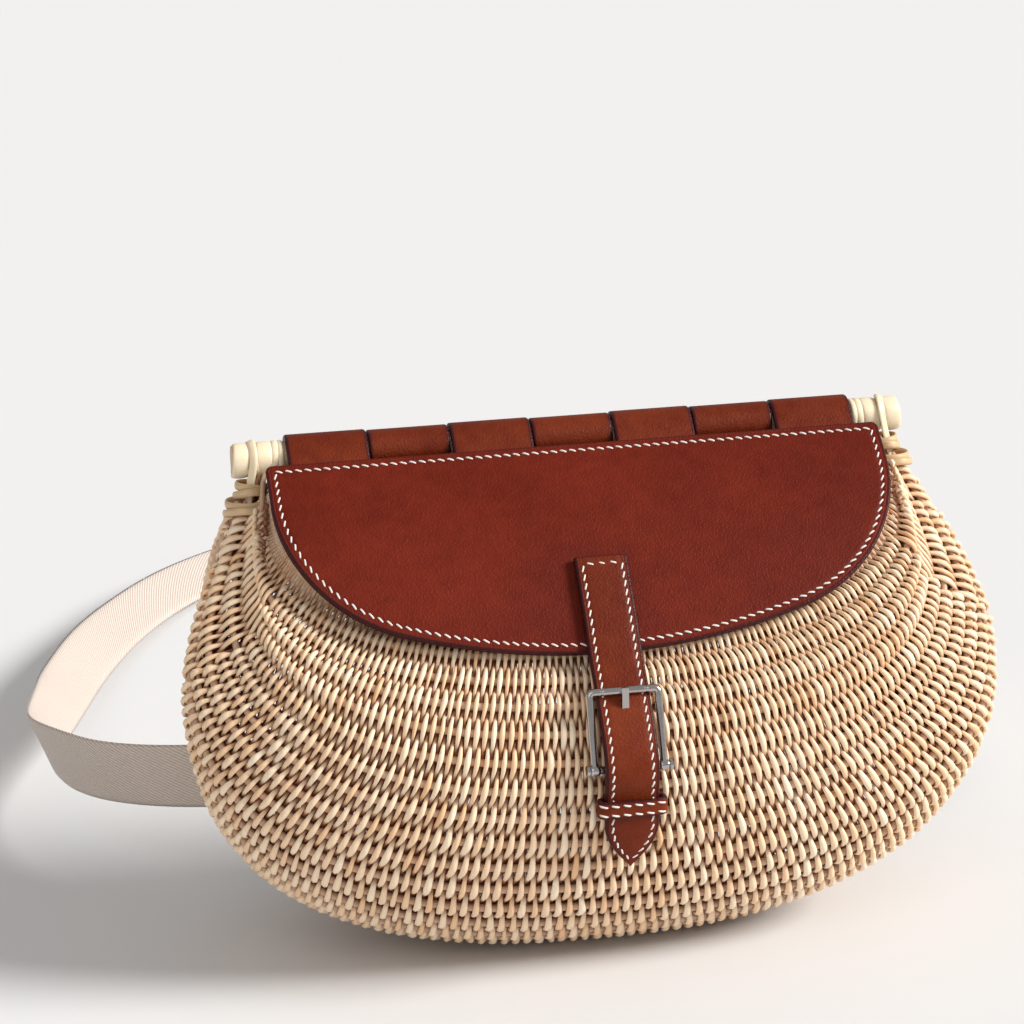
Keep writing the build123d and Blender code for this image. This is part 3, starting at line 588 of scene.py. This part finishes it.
def stitches(line, face, pitch=STITCH_PITCH, length=STITCH_LENGTH, slant=STITCH_SLANT):
    """Saddle stitches along a line of points on leather whose outward directions are face: short
    rounded lengths of thread, each turned by the slant and dipping into its holes."""
    run = distances(line)
    count = int(run[-1] / pitch)
    marks = (np.arange(count) + 0.5) * run[-1] / count
    place, out = spaced(line, marks, run), unit(spaced(face, marks, run))
    ahead = unit(spaced(line, marks + 0.2, run) - spaced(line, marks - 0.2, run))
    aside = np.cross(out, ahead)
    way = ahead * np.cos(slant) + aside * np.sin(slant)
    along = np.linspace(-1, 1, 7)
    path = (place[:, None] + way[:, None] * (along * length / 2)[:, None]
            + out[:, None] * (0.26 - 0.50 * along**4)[:, None])
    thread_width = STITCH_RADIUS * (1 - 0.35 * along**6)
    return tube(path, np.broadcast_to(out[:, None], path.shape), thread_width, STITCH_RADIUS * 0.85, 6)


def leather(name, deep, light, rough):
    """Chestnut bridle leather: a brown that drifts in soft clouds, fine grain of tiny cells and
    short creases, waxed to a low shine, and dark paint where the painted attribute is set."""
    finish = Finish(name)
    at = finish.place()
    cloud = finish.noise(at, 22.0, 3.0, 0.55)
    mottle = finish.noise(at, 210.0, 3.0, 0.6)
    cells = finish.node("ShaderNodeTexVoronoi", {"feature": "F1"}, {"Vector": at, "Scale": 1500.0})
    creases = finish.noise(at, 900.0, 4.0, 0.65)
    painted = finish.note("painted")
    tone = finish.steps(cloud * 0.65 + mottle * 0.35, (0.32, 0.0), (0.68, 1.0))
    colour = finish.mixed(tone, deep, light)
    colour = finish.mixed(finish.steps(creases, (0.50, 0.0), (0.75, 0.35)), colour, deep)
    colour = finish.mixed(painted, colour, (0.050, 0.008, 0.009, 1))
    grain = cells * 0.5 + creases * 0.8
    return finish.surface(
        Base_Color=colour, Roughness=rough + mottle * 0.16 - painted * 0.12,
        Coat_Weight=0.04, Coat_Roughness=0.3, Specular_IOR_Level=0.12,
        Normal=finish.raised(grain, 0.00030, 0.8))


hide = leather("chestnut_leather", (0.095, 0.0060, 0.0012, 1), (0.165, 0.0150, 0.0036, 1), 0.40)
strap_hide = leather("strap_leather", (0.105, 0.0095, 0.0015, 1), (0.190, 0.0300, 0.0070, 1), 0.38)
lining_hide = leather("lining_leather", (0.16, 0.045, 0.022, 1), (0.24, 0.075, 0.040, 1), 0.62)
thread_finish = Finish("waxed_linen_thread")
twist = thread_finish.noise(thread_finish.place(), 2600.0, 2.0)
linen = thread_finish.surface(
    Base_Color=thread_finish.mixed(thread_finish.steps(twist, (0.3, 0.0), (0.7, 1.0)),
                                   (0.66, 0.58, 0.52, 1), (0.93, 0.90, 0.86, 1)),
    Roughness=0.5 + twist * 0.2, Normal=thread_finish.raised(twist, 0.0001))

panel, panel_paint = d_layer(0.0, -FLAP_OUTER, FLAP_START, 0.0, True)
piece("flap_outer_layer", [skin(panel)], hide, "flap", "leather", ("flap_panel",), {"painted": panel_paint})
under, under_paint = d_layer(-FLAP_OUTER - 0.02, -FLAP_OUTER - FLAP_LINING, LINING_START, 0.12, False)
piece("flap_inner_layer", [skin(under)], lining_hide, "flap", "leather_lining", ("flap_lining",),
      {"painted": under_paint})

seam = d_line(STITCH_INSET, FLAP_START)
seam = np.concatenate([seam, seam[:1]])
seam_run = distances(seam)
seam = spaced(seam, np.linspace(0, seam_run[-1], 1600), seam_run)
seam_low, seam_high = (in_frame(seam[:, 0], *on_flap(seam[:, 1], np.full(len(seam), depth)).T)
                       for depth in (-0.2, 0.8))
flap_stitches = stitches(seam_low, seam_high - seam_low, slant=-STITCH_SLANT)
piece("flap_stitching", [skin(flap_stitches)], linen, "flap", "thread")


# ---------------------------------------------------------------- leather eyes and back facing
# Seven leather eyes turn on the rod like the knuckles of a hinge. Four are the turned-over top of
# the flap; the three between them rise from a facing sewn to the back of the basket.
KNUCKLE_HALF, KNUCKLES, KNUCKLE_GAP = 96.5, 7, 0.3
EYE_MIDDLE, EYE_THICK = 6.35, 2.2
FACING_HALF, FACING_THICK = 92.0, 2.0
FACING_DOWN = np.array([12.0, 20.0, 30.0, 40.0])
FACING_SEAM, FACING_MARGIN = 36.5, 3.5
WALL_GAP = 0.3


def wall(x, down, out, back=False):
    """(forward, down) on the basket's slice at x, at a depth below the rod and moved out from it."""
    t = np.linspace(0, TOP_ROW, 900)
    reach = smooth_curve(MIDDLE_RIB, t)
    half = NECK_HALF + (BASKET_HALF - NECK_HALF) * np.maximum(eased(RIB_SPREAD, t), 0.002)
    turn = eased(RIB_TURN, t)
    inside = np.clip(1 - (min(abs(x), NECK_HALF) / half) ** RIB_SQUARENESS, 0, 1)
    line = reach * (turn + (1 - turn) * inside ** (1 / RIB_SQUARENESS))[:, None]
    lowest = int(line[:, 1].argmax())
    line = line[lowest:][::-1] if back else line[:lowest + 1]
    along = unit(np.gradient(line, axis=0))
    normal = np.column_stack([along[:, 1], -along[:, 0]]) * (-1 if back else 1)
    down = np.atleast_1d(down)
    at = np.column_stack([np.interp(down, line[:, 1], line[:, 0]), down])
    return at + spaced(normal, down, line[:, 1]) * np.atleast_1d(out)[:, None]


def strip(path, across, out, half_width, thick, tooled=True, crown=0.0, ring=False):
    """A strap of leather along a path. Its section is a flat rectangle with rounded, painted edges;
    a tooled face has a crease and a stitch groove. Square ends are rounded over in the same way."""
    b = thick / 2
    soft = min(b * 0.95, 0.8)
    face = [(soft * (1 - np.cos(a)), b - soft + soft * np.sin(a), 1.0) for a in np.linspace(0, np.pi / 2, 5)]
    if tooled:
        face += [(1.05, b, 0.25), (1.25, b - 0.1, 0.0), (1.45, b, 0.0), (1.9, b, 0.0), (2.3, b - 0.16, 0.0),
                 (2.7, b, 0.0), (4.0, b, 0.0)]
    else:
        face += [(1.2, b, 0.2), (2.2, b, 0.0), (4.0, b, 0.0)]
    inset, rise, paint = np.array(face).T
    back_rise = np.where(inset > 1.0, b, rise) if tooled else rise
    middle, left, right = np.array([-0.35, 0.0, 0.35]), np.full(len(face), -1.0), np.full(len(face), 1.0)
    lane = np.concatenate([left, middle, right, right, -middle, left])
    lane_inset = np.tile(np.concatenate([inset, np.zeros(3), inset[::-1]]), 2)
    lane_paint = np.tile(np.concatenate([paint, np.zeros(3), paint[::-1]]), 2)
    lane_depth = np.concatenate([rise, [b] * 3, rise[::-1], -back_rise, [-b] * 3, -back_rise[::-1]])
    half_width = np.broadcast_to(half_width, len(path)).astype(float)[:, None]
    shrink = np.clip(half_width / 5.0, 0, 1)
    inner_half = np.maximum(half_width - 4.0 * shrink, 0)
    p = lane * np.where(np.abs(lane) < 1, inner_half, half_width - lane_inset * shrink)
    w = lane_depth + np.where(lane_depth > 0, crown * (1 - (p / half_width.max()) ** 2), 0)
    rows = path[:, None] + across[:, None] * p[..., None] + out[:, None] * w[..., None]
    marks = np.broadcast_to(lane_paint, p.shape)
    if ring:
        return rows[None], marks[None]
    along = unit(np.gradient(path, axis=0))
    closed = []
    for end, way in ((0, -1), (-1, 1)):
        lean = np.array([0.35, 0.75, 1.0])[:, None, None]
        flat = (path[end] + across[end] * p[end][:, None]
                + out[end] * w[end][:, None] * np.sqrt(np.maximum(1 - lean**2 * 0.98, 0)))
        flat = flat + along[end] * way * soft * lean
        point = np.broadcast_to(path[end] + along[end] * way * soft, (1,) + rows[0].shape)
        closed.append(np.concatenate([flat, point])[::way])
    ends = np.ones((len(closed[0]), marks.shape[1]))
    return np.concatenate([closed[0], rows, closed[1]])[None], np.concatenate([ends, marks, ends])[None]


def strap_piece(name, strips, body, replaced, ring=False):
    """A piece of strap leather made of strips, in place of a part from the frame."""
    piece(name, [skin(rows, ring) for rows, _ in strips], strap_hide, body, "leather", (replaced,),
          {"painted": np.concatenate([marks.ravel() for _, marks in strips])})


def bent_strip(points, x_middle, half_width, thick, count=60, **how):
    """A strip whose path is a smooth curve through (forward, down) points, square to the rod."""
    line = smooth_curve(points, np.linspace(0, 1, count))
    path = in_frame(np.full(count, float(x_middle)), line[:, 0], line[:, 1])
    across = np.broadcast_to([1.0, 0.0, 0.0], path.shape)
    out = unit(np.cross(np.gradient(path, axis=0), across))
    return strip(path, across, out, half_width, thick, **how), path, out


def round_rod_axis(radius, degrees):
    """(forward, down) points at a radius from the rod's axis; 0 degrees is forward, 90 is up."""
    angle = np.radians(degrees)
    return np.column_stack([radius * np.cos(angle), -radius * np.sin(angle)])


pitch_x = 2 * KNUCKLE_HALF / KNUCKLES
middles = -KNUCKLE_HALF + (np.arange(KNUCKLES) + 0.5) * pitch_x
half_eye = (pitch_x - KNUCKLE_GAP) / 2
turned_over = np.concatenate([on_flap(np.array([12.5, 8.0, 4.0, 1.0]), np.array([-2.55, -2.4, -1.9, -1.35])),
                              round_rod_axis(EYE_MIDDLE, np.arange(46, 331, 19))])
for number, middle in enumerate(middles[::2], 1):
    eye, _, _ = bent_strip(turned_over[::-1], middle, half_eye, EYE_THICK, 70, tooled=False)
    strap_piece(f"flap_knuckle_{number}", [eye], "flap", f"flap_eye_{number}")

facing_line = wall(0.0, FACING_DOWN, WALL_GAP + FACING_THICK / 2, back=True)
facing, _, facing_out = bent_strip(facing_line[::-1], 0.0, FACING_HALF, FACING_THICK, 30, tooled=False)
strips = [facing]
for middle in middles[1::2]:
    ear = np.concatenate([facing_line[1:0:-1], facing_line[:1] + (-0.15, -1.0),
                          round_rod_axis(EYE_MIDDLE - 0.3, np.arange(196, -31, -20))])
    strips.append(bent_strip(ear, middle, half_eye, 2.1, 60, tooled=False)[0])
strap_piece("facing_and_knuckles", strips, "basket", "back_facing")

row_x = np.linspace(-FACING_HALF + FACING_MARGIN, FACING_HALF - FACING_MARGIN, 60)
row_at = wall(0.0, FACING_SEAM, WALL_GAP + FACING_THICK - 0.05, back=True)[0]
row_line = in_frame(row_x, row_at[0], row_at[1])
facing_stitch = stitches(row_line, np.broadcast_to(unit(facing_out[3]), row_line.shape), pitch=5.0, length=3.8)
piece("facing_stitching", [skin(facing_stitch)], linen, "basket", "thread", ("facing_stitches",))


# ---------------------------------------------------------------- closing strap
# Two thin leathers glued and stitched into one strap, sewn to the flap at its square end. It runs
# under the buckle's top bar, over the heel bar and the prong, and through the keeper to a point.
HEEL, TOP_BAR = np.array([87.6, 86.4]), np.array([79.9, 62.9])
BAR_RADIUS, PRONG_RADIUS, PIN_CLEARANCE = 1.3, 0.9, 0.08
STRAP_HALF, STRAP_THICK, STRAP_TOP = 8.8, 2.6, 47.0
CHAPE_THICK, CHAPE_HALF, CHAPE_FOOT = 1.3, 7.5, 111.0
KEEPER_DOWN, TIP_DOWN, TIP_LENGTH = 98.5, 118.6, 15.0
STRAP_STITCH = 2.3
bar_reach = np.linalg.norm(TOP_BAR - HEEL)
bar_along = (TOP_BAR - HEEL) / bar_reach
bar_out = np.array([-bar_along[1], bar_along[0]])
over_heel = BAR_RADIUS + PIN_CLEARANCE + CHAPE_THICK + WALL_GAP + STRAP_THICK / 2
strap_on_keeper = 2.75 + STRAP_THICK / 2


def at_heel(along, out):
    """(forward, down) measured from the heel bar, along the buckle and out from it."""
    return HEEL + bar_along * along + bar_out * out


strap_points = np.concatenate([
    on_flap(np.linspace(STRAP_TOP, flap_length - 1.0, 5), np.full(5, 0.2 + STRAP_THICK / 2)),
    [at_heel(bar_reach, -BAR_RADIUS - 0.3 - STRAP_THICK / 2),
     at_heel(bar_reach * 0.47, PRONG_RADIUS + 0.3 + STRAP_THICK / 2),
     at_heel(0.0, over_heel), at_heel(-4.0, over_heel - 1.3)],
    wall(0.0, KEEPER_DOWN + np.array([-3.5, 0.0, 5.6]), strap_on_keeper),
    wall(0.0, TIP_DOWN + 0.6, 1.6 + STRAP_THICK / 2)])
strap_line = smooth_curve(strap_points, np.linspace(0, 1, 130))
from_tip = strap_line[-1, 1] - strap_line[:, 1]
point_share = np.clip(from_tip / TIP_LENGTH, 0, 1)
strap_half = STRAP_HALF * np.clip(1 - (1 - point_share) ** 1.9, 0.2 / STRAP_HALF, 1)
strap, strap_path, strap_out = bent_strip(strap_points, 0.0, strap_half, STRAP_THICK, 130, crown=0.30)
strap_piece("closing_strap", [strap], "flap", "closure_strap")

from_top = distances(strap_path)
sewn = np.linspace(STRAP_STITCH, from_top[-1] - 2.6, 260)
middle_line, middle_out = spaced(strap_path, sewn, from_top), unit(spaced(strap_out, sewn, from_top))
sewn_half = np.maximum(np.interp(sewn, from_top, strap_half) - STRAP_STITCH, 0.0)
surface_line = middle_line + middle_out * (STRAP_THICK / 2 - 0.08)
left_row, right_row = (surface_line + np.array([way, 0, 0]) * sewn_half[:, None] for way in (-1.0, 1.0))
top_half = STRAP_HALF - STRAP_STITCH - 0.8
top_row = left_row[:1] * [0, 1, 1] + np.linspace(-top_half, top_half, 20)[:, None] * [1.0, 0, 0]
top_out = np.broadcast_to(middle_out[0], top_row.shape)
strap_stitches = np.concatenate([stitches(line, out, pitch, slant=-STITCH_SLANT * 0.8) for line, out, pitch in (
    (left_row, middle_out, 3.05), (right_row, middle_out, 3.05), (top_row, top_out, 3.0))])
piece("strap_stitching", [skin(strap_stitches)], linen, "flap", "thread")


# ---------------------------------------------------------------- buckle tab and keeper
# A short leather is folded round the heel bar and sewn down behind the strap. The keeper is a
# closed leather band on it with two rows of stitches, which holds the strap's end.
FOLD_SIDES = ((-7.5, -1.8), (1.8, 7.5))
KEEPER_HALF, KEEPER_THICK, KEEPER_WIDTH = 10.6, 1.5, 5.8
KEEPER_LOW, KEEPER_HIGH = 2.05, 6.38     # middle of the band's thickness, behind and in front
tab_points = wall(0.0, np.array([87.0, 94.0, 103.0, CHAPE_FOOT]), WALL_GAP + CHAPE_THICK / 2)
strips = [bent_strip(tab_points, 0.0, CHAPE_HALF, CHAPE_THICK, 40, tooled=False)[0]]
fold_angle = np.radians(np.arange(-205, 46, 12))
fold_radius = BAR_RADIUS + PIN_CLEARANCE + CHAPE_THICK / 2
fold = HEEL + fold_radius * np.column_stack([np.cos(fold_angle), -np.sin(fold_angle)])
for start, end in FOLD_SIDES:
    middle, half = (start + end) / 2, (end - start) / 2
    strips.append(bent_strip(fold, middle, half, CHAPE_THICK, 40, tooled=False)[0])
strap_piece("buckle_fold", strips, "basket", "buckle_tab")

keeper_at = wall(0.0, np.array([KEEPER_DOWN - 2, KEEPER_DOWN, KEEPER_DOWN + 2]), 0.0)
keeper_down = (keeper_at[2] - keeper_at[0]) / np.linalg.norm(keeper_at[2] - keeper_at[0])
keeper_out = np.array([keeper_down[1], -keeper_down[0]])
ring_turn = np.linspace(0, 2 * np.pi, 97)
ring_turn[-1] = 0.0
turn_cos, turn_sin = np.cos(ring_turn), np.sin(ring_turn)
keeper_x = KEEPER_HALF * np.sign(turn_cos) * np.abs(turn_cos) ** 0.34
keeper_w = (KEEPER_LOW + KEEPER_HIGH + (KEEPER_HIGH - KEEPER_LOW) * np.sign(turn_sin) * np.abs(turn_sin) ** 0.5) / 2
keeper_w += 0.22 * np.clip(turn_sin, 0, 1)
flat = keeper_at[1] + keeper_out * keeper_w[:, None]
keeper_path = in_frame(keeper_x, flat[:, 0], flat[:, 1])
keeper_path = spaced(keeper_path, np.linspace(0, length_of(keeper_path), 97)[:-1])
keeper_ahead = unit(np.roll(keeper_path, -1, axis=0) - np.roll(keeper_path, 1, axis=0))
keeper_across = np.broadcast_to([0.0, -keeper_down[0], -keeper_down[1]], keeper_path.shape)
keeper_face = unit(np.cross(keeper_across, keeper_ahead))
if keeper_face[24, 1] > 0:
    keeper_face = -keeper_face
band = strip(keeper_path, keeper_across, keeper_face, KEEPER_WIDTH / 2, KEEPER_THICK, False, 0.12, ring=True)
strap_piece("keeper_band", [band], "basket", "strap_keeper", ring=True)
front = keeper_face[:, 1] < -0.3
order = np.argsort(keeper_path[front, 0])
front_path, front_face = keeper_path[front][order], keeper_face[front][order]
front_line = front_path + front_face * (KEEPER_THICK / 2 - 0.02)
band_stitches = np.concatenate([
    stitches(front_line + keeper_across[0] * side, front_face, 3.4, length=2.6, slant=-STITCH_SLANT * 0.5)
    for side in (-1.55, 1.55)])
piece("keeper_stitching", [skin(band_stitches)], linen, "basket", "thread")


# ---------------------------------------------------------------- buckle
# A nickel-plated wire frame with a short flat prong. Both turn on the heel bar, whose ends are
# spread in a knob at the foot of each side. Its polish carries faint handling scratches.
SIDE_BAR, FRAME_CORNER = 11.3, 1.45
KNOB_RADIUS, KNOB_HALF = 1.75, 1.9
metal = Finish("polished_nickel")
scuff = metal.noise(metal.place(), 1300.0, 5.0, 0.7)
smear = metal.noise(metal.place(), 130.0, 2.0)
nickel = metal.surface(
    Base_Color=metal.mixed(smear, (0.36, 0.33, 0.32, 1), (0.58, 0.55, 0.54, 1)), Metallic=1.0,
    Roughness=0.10 + scuff * 0.12 + smear * 0.08, Normal=metal.raised(scuff, 0.00003, 0.4))
quarter = np.linspace(0, np.pi / 2, 9)
bend = SIDE_BAR - FRAME_CORNER + FRAME_CORNER * np.sin(quarter)
rise = bar_reach - FRAME_CORNER + FRAME_CORNER * np.cos(quarter)
half_frame = np.concatenate([
    np.column_stack([np.linspace(0, SIDE_BAR - FRAME_CORNER, 24)[:-1], np.full(23, bar_reach)]),
    np.column_stack([bend, rise]),
    np.column_stack([np.full(24, SIDE_BAR), np.linspace(bar_reach - FRAME_CORNER, -0.6, 25)[1:]])])
whole = np.concatenate([(half_frame * (-1, 1))[::-1], half_frame[1:]])
frame_at = at_heel(whole[:, 1, None], np.zeros((len(whole), 1)))
frame_line = in_frame(whole[:, 0], frame_at[:, 0], frame_at[:, 1])
groove = 1 - 0.16 * np.exp(-((np.abs(whole[:, 0]) - 7.3) / 0.30) ** 2) * (whole[:, 1] > bar_reach - 0.1)
frame_side = np.broadcast_to(in_frame(0.0, *bar_out) - in_frame(0.0, 0.0, 0.0), frame_line.shape)
frame_rows = tube(frame_line[None], frame_side[None], BAR_RADIUS * groove, BAR_RADIUS * 0.95 * groove, 16)
shapes = [skin(frame_rows)]
for way in (-1, 1):
    along = np.linspace(-1, 1, 13)
    bulge = KNOB_RADIUS * np.sqrt(1 - (along * 0.9) ** 4)
    knob_path = in_frame(way * SIDE_BAR + along * KNOB_HALF, *HEEL)[None]
    shapes.append(skin(tube(knob_path, np.broadcast_to([0.0, 0.0, 1.0], knob_path.shape), bulge, bulge, 16)))
piece("buckle_wire", shapes, nickel, "buckle", "nickel", ("buckle_frame",))
for name in ("heel_bar", "buckle_prong"):
    cover(name, nickel)


# ---------------------------------------------------------------- webbing belt
# One ring of cream cotton webbing with a twill face and a tight round edge. It stands upright
# against the back of the basket and falls over to lie nearly flat behind it.
BELT_PATH = [(0.0, 51.3, 36.0), (31.0, 51.4, 35.6), (62.0, 52.0, 34.6), (118.0, 62.0, 30.0), (158.0, 91.0, 25.0),
             (173.0, 137.0, 19.0), (163.5, 200.0, 12.4), (141.0, 285.0, 7.0),
             (98.0, 378.0, 3.0), (56.0, 425.0, 1.2), (22.0, 442.5, 0.9), (0.0, 445.0, 0.9)]
BELT_LEAN = [(0.0, 0.0), (0.17, 2.0), (0.3, 8.0), (0.4, 24.0), (0.55, 48.0), (0.75, 64.0), (1.0, 74.0)]
BELT_WIDTH, BELT_THICK = 24.0, 1.8
belt_share = np.linspace(0, 1, 161)
right_edge = smooth_curve(BELT_PATH, belt_share)
right_edge[[0, -1], 0] = 0.0
edge_line = np.concatenate([right_edge, (right_edge * (-1, 1, 1))[-2:0:-1]])
belt_lean = np.radians(eased(BELT_LEAN, belt_share))
belt_lean = np.concatenate([belt_lean, belt_lean[-2:0:-1]])
belt_ahead = unit(np.roll(edge_line, -1, axis=0) - np.roll(edge_line, 1, axis=0))
belt_away = unit(belt_ahead[:, [1, 0, 2]] * (1, -1, 0))
rising = belt_away * np.sin(belt_lean)[:, None] + np.array([0, 0, 1.0]) * np.cos(belt_lean)[:, None]
rising = unit(rising - belt_ahead * (rising * belt_ahead).sum(axis=1, keepdims=True))
belt_face = unit(np.cross(belt_ahead, rising))
ripple = 0.22 * np.sin(np.linspace(0, 2 * np.pi * 9, len(edge_line), endpoint=False))
belt_middle = edge_line + rising * BELT_WIDTH / 2 + belt_face * (ripple * np.sin(belt_lean))[:, None]
lane = np.linspace(-1, 1, 15)
border = np.exp(-((np.abs(lane) - 0.84) / 0.05) ** 2)     # a thinner line beside the woven edge
round_edge = np.sqrt(1 - lane ** 14) * (1 - 0.12 * border)
section_p = np.concatenate([lane, lane[-2:0:-1]]) * BELT_WIDTH / 2
section_w = np.concatenate([round_edge, -round_edge[-2:0:-1]]) * BELT_THICK / 2
belt_rows = (belt_middle[:, None] + rising[:, None] * section_p[:, None]
             + belt_face[:, None] * section_w[:, None])[None]
belt_run = distances(edge_line)
belt_notes = {"along": np.broadcast_to(belt_run[:, None] / 1000, belt_rows.shape[1:3])[None],
              "across": np.broadcast_to(section_p / 1000, belt_rows.shape[1:3])[None]}
cotton = Finish("cotton_twill")
length_way, width_way = cotton.note("along"), cotton.note("across")
slub = cotton.noise(cotton.joined(length_way * 500, width_way * 1800, 0.0), 1.0, 3.0)
slanted = length_way * 2600 + width_way * 5200 + slub * 1.4
twill = slanted.sum("SINE", slanted) * 0.5 + 0.5
threads = slanted.sum("SINE", width_way * 7400) * 0.5 + 0.5
weft = slanted.sum("SINE", length_way * 6200 + slub * 2) * 0.5 + 0.5
# brownish blotches in the tint of the belt's shaded face: painted shade
shade_blotch = cotton.noise(cotton.place(), 26.0, 3.0)
# the twill's dark end is a brown matched to the shaded face: partly the weave's own pattern, partly painted shade
cloth = cotton.mixed(twill * 0.5 + slub * 0.35, (0.46, 0.33, 0.25, 1), (0.90, 0.84, 0.78, 1))
webbing = cotton.surface(
    Base_Color=cotton.mixed(cotton.steps(shade_blotch, (0.45, 0.0), (0.75, 0.25)), cloth, (0.60, 0.51, 0.42, 1)),
    Roughness=0.82 + slub * 0.12, Sheen_Weight=0.25,
    Normal=cotton.raised(twill * 0.8 + threads * 0.3 + weft * 0.25, 0.00022, 0.8))
piece("belt_webbing", [skin(belt_rows, True)], webbing, "basket", "webbing", ("webbing_belt",), belt_notes)


# ---------------------------------------------------------------- belt loops and rivets
# Two leather loops stand off the back of the basket to hold the belt. Each is riveted through the
# weave above and below it with plain domed rivets.
LOOP_PLACE, LOOP_HALF, LOOP_THICK = 58.0, 11.0, 2.0
belt_low = right_edge[np.abs(right_edge[:80, 0] - LOOP_PLACE).argmin()]
belt_upper, belt_under = ROD_AXIS[2] - belt_low[2] - BELT_WIDTH, ROD_AXIS[2] - belt_low[2]
loop_out = ROD_AXIS[1] - belt_low[1] - BELT_THICK / 2 - 0.9 - LOOP_THICK / 2
seat = WALL_GAP + LOOP_THICK / 2
feet_down = np.array([belt_upper - 18.2, belt_upper - 8.2, belt_under + 9.2, belt_under + 19.2])
feet = wall(LOOP_PLACE - LOOP_HALF, feet_down, seat + np.array([0.3, 0.6, 0.9, 0.6]), back=True)
loop_points = np.array([feet[0], feet[1], (loop_out, belt_upper - 0.2), (loop_out, belt_under + 0.2),
                        feet[2], feet[3]])
for label, way in (("left", -1), ("right", 1)):
    loop, _, _ = bent_strip(loop_points[::-1], way * LOOP_PLACE, LOOP_HALF, LOOP_THICK, 70)
    strap_piece("loop_" + label, [loop], "basket", "belt_loop_" + label)

warm_metal = Finish("aged_brass")
patina = warm_metal.noise(warm_metal.place(), 420.0, 4.0, 0.6)
brass = warm_metal.surface(
    Base_Color=warm_metal.mixed(warm_metal.steps(patina, (0.35, 0.0), (0.7, 1.0)),
                                (0.62, 0.42, 0.17, 1), (0.30, 0.18, 0.08, 1)),
    Metallic=1.0, Roughness=0.22 + patina * 0.25, Normal=warm_metal.raised(patina, 0.00004, 0.5))
cover("loop_rivets", brass)


# ---------------------------------------------------------------- room, light and camera
# A plain pale floor under soft studio light: a lamp high on the right, a weak wide one from the
# front left and a pale room all round.
FLOOR_SIZE = 30.0
EYE = Vector((-0.22177, -1.07352, 0.47924))
EYE_BACK = Vector((-0.17243, -0.94145, 0.28972)).normalized()
EYE_ROLL = np.radians(1.39)
LENS = 121.8

floor_mesh = bpy.data.meshes.new("floor")
corner = FLOOR_SIZE / 2
corners = [(-corner, -corner, 0), (corner, -corner, 0), (corner, corner, 0), (-corner, corner, 0)]
floor_mesh.from_pydata(corners, [], [(0, 1, 2, 3)])
floor = bpy.data.objects.new("floor", floor_mesh)
bpy.context.scene.collection.objects.link(floor)
floor_finish = Finish("pale_floor")
floor_mesh.materials.append(floor_finish.surface(Base_Color=(0.77, 0.77, 0.775, 1), Roughness=0.9))

world = bpy.data.worlds.new("pale_room")
bpy.context.scene.world = world
world.use_nodes = True
world.node_tree.nodes["Background"].inputs["Color"].default_value = (1.0, 0.99, 0.98, 1)
world.node_tree.nodes["Background"].inputs["Strength"].default_value = 0.42


def lamp(name, towards, strength, softness, colour):
    """A far, soft lamp that shines from the direction towards, its softness in degrees."""
    light = bpy.data.lights.new(name, "SUN")
    light.energy, light.angle, light.color = strength, np.radians(softness), colour
    made = bpy.data.objects.new(name, light)
    made.rotation_euler = Vector(towards).to_track_quat("Z", "Y").to_euler()
    bpy.context.scene.collection.objects.link(made)


lamp("key", (0.93, -0.36, 0.62), 4.0, 22, (1.0, 0.985, 0.96))
lamp("fill", (-0.35, -0.8, 0.7), 0.35, 40, (1.0, 1.0, 1.0))

camera = bpy.data.objects.new("camera", bpy.data.cameras.new("camera"))
bpy.context.scene.collection.objects.link(camera)
right = Vector((0, 0, 1)).cross(EYE_BACK).normalized()
level_up = EYE_BACK.cross(right)
camera_x = right * np.cos(EYE_ROLL) - level_up * np.sin(EYE_ROLL)
camera_y = right * np.sin(EYE_ROLL) + level_up * np.cos(EYE_ROLL)
turn = Matrix((camera_x, camera_y, EYE_BACK)).transposed()
camera.matrix_world = Matrix.Translation(EYE) @ turn.to_4x4()
camera.data.lens, camera.data.sensor_width = LENS, 36.0
camera.data.clip_end = 100.0
bpy.context.scene.camera = camera
bpy.context.scene.view_settings.view_transform = "Standard"
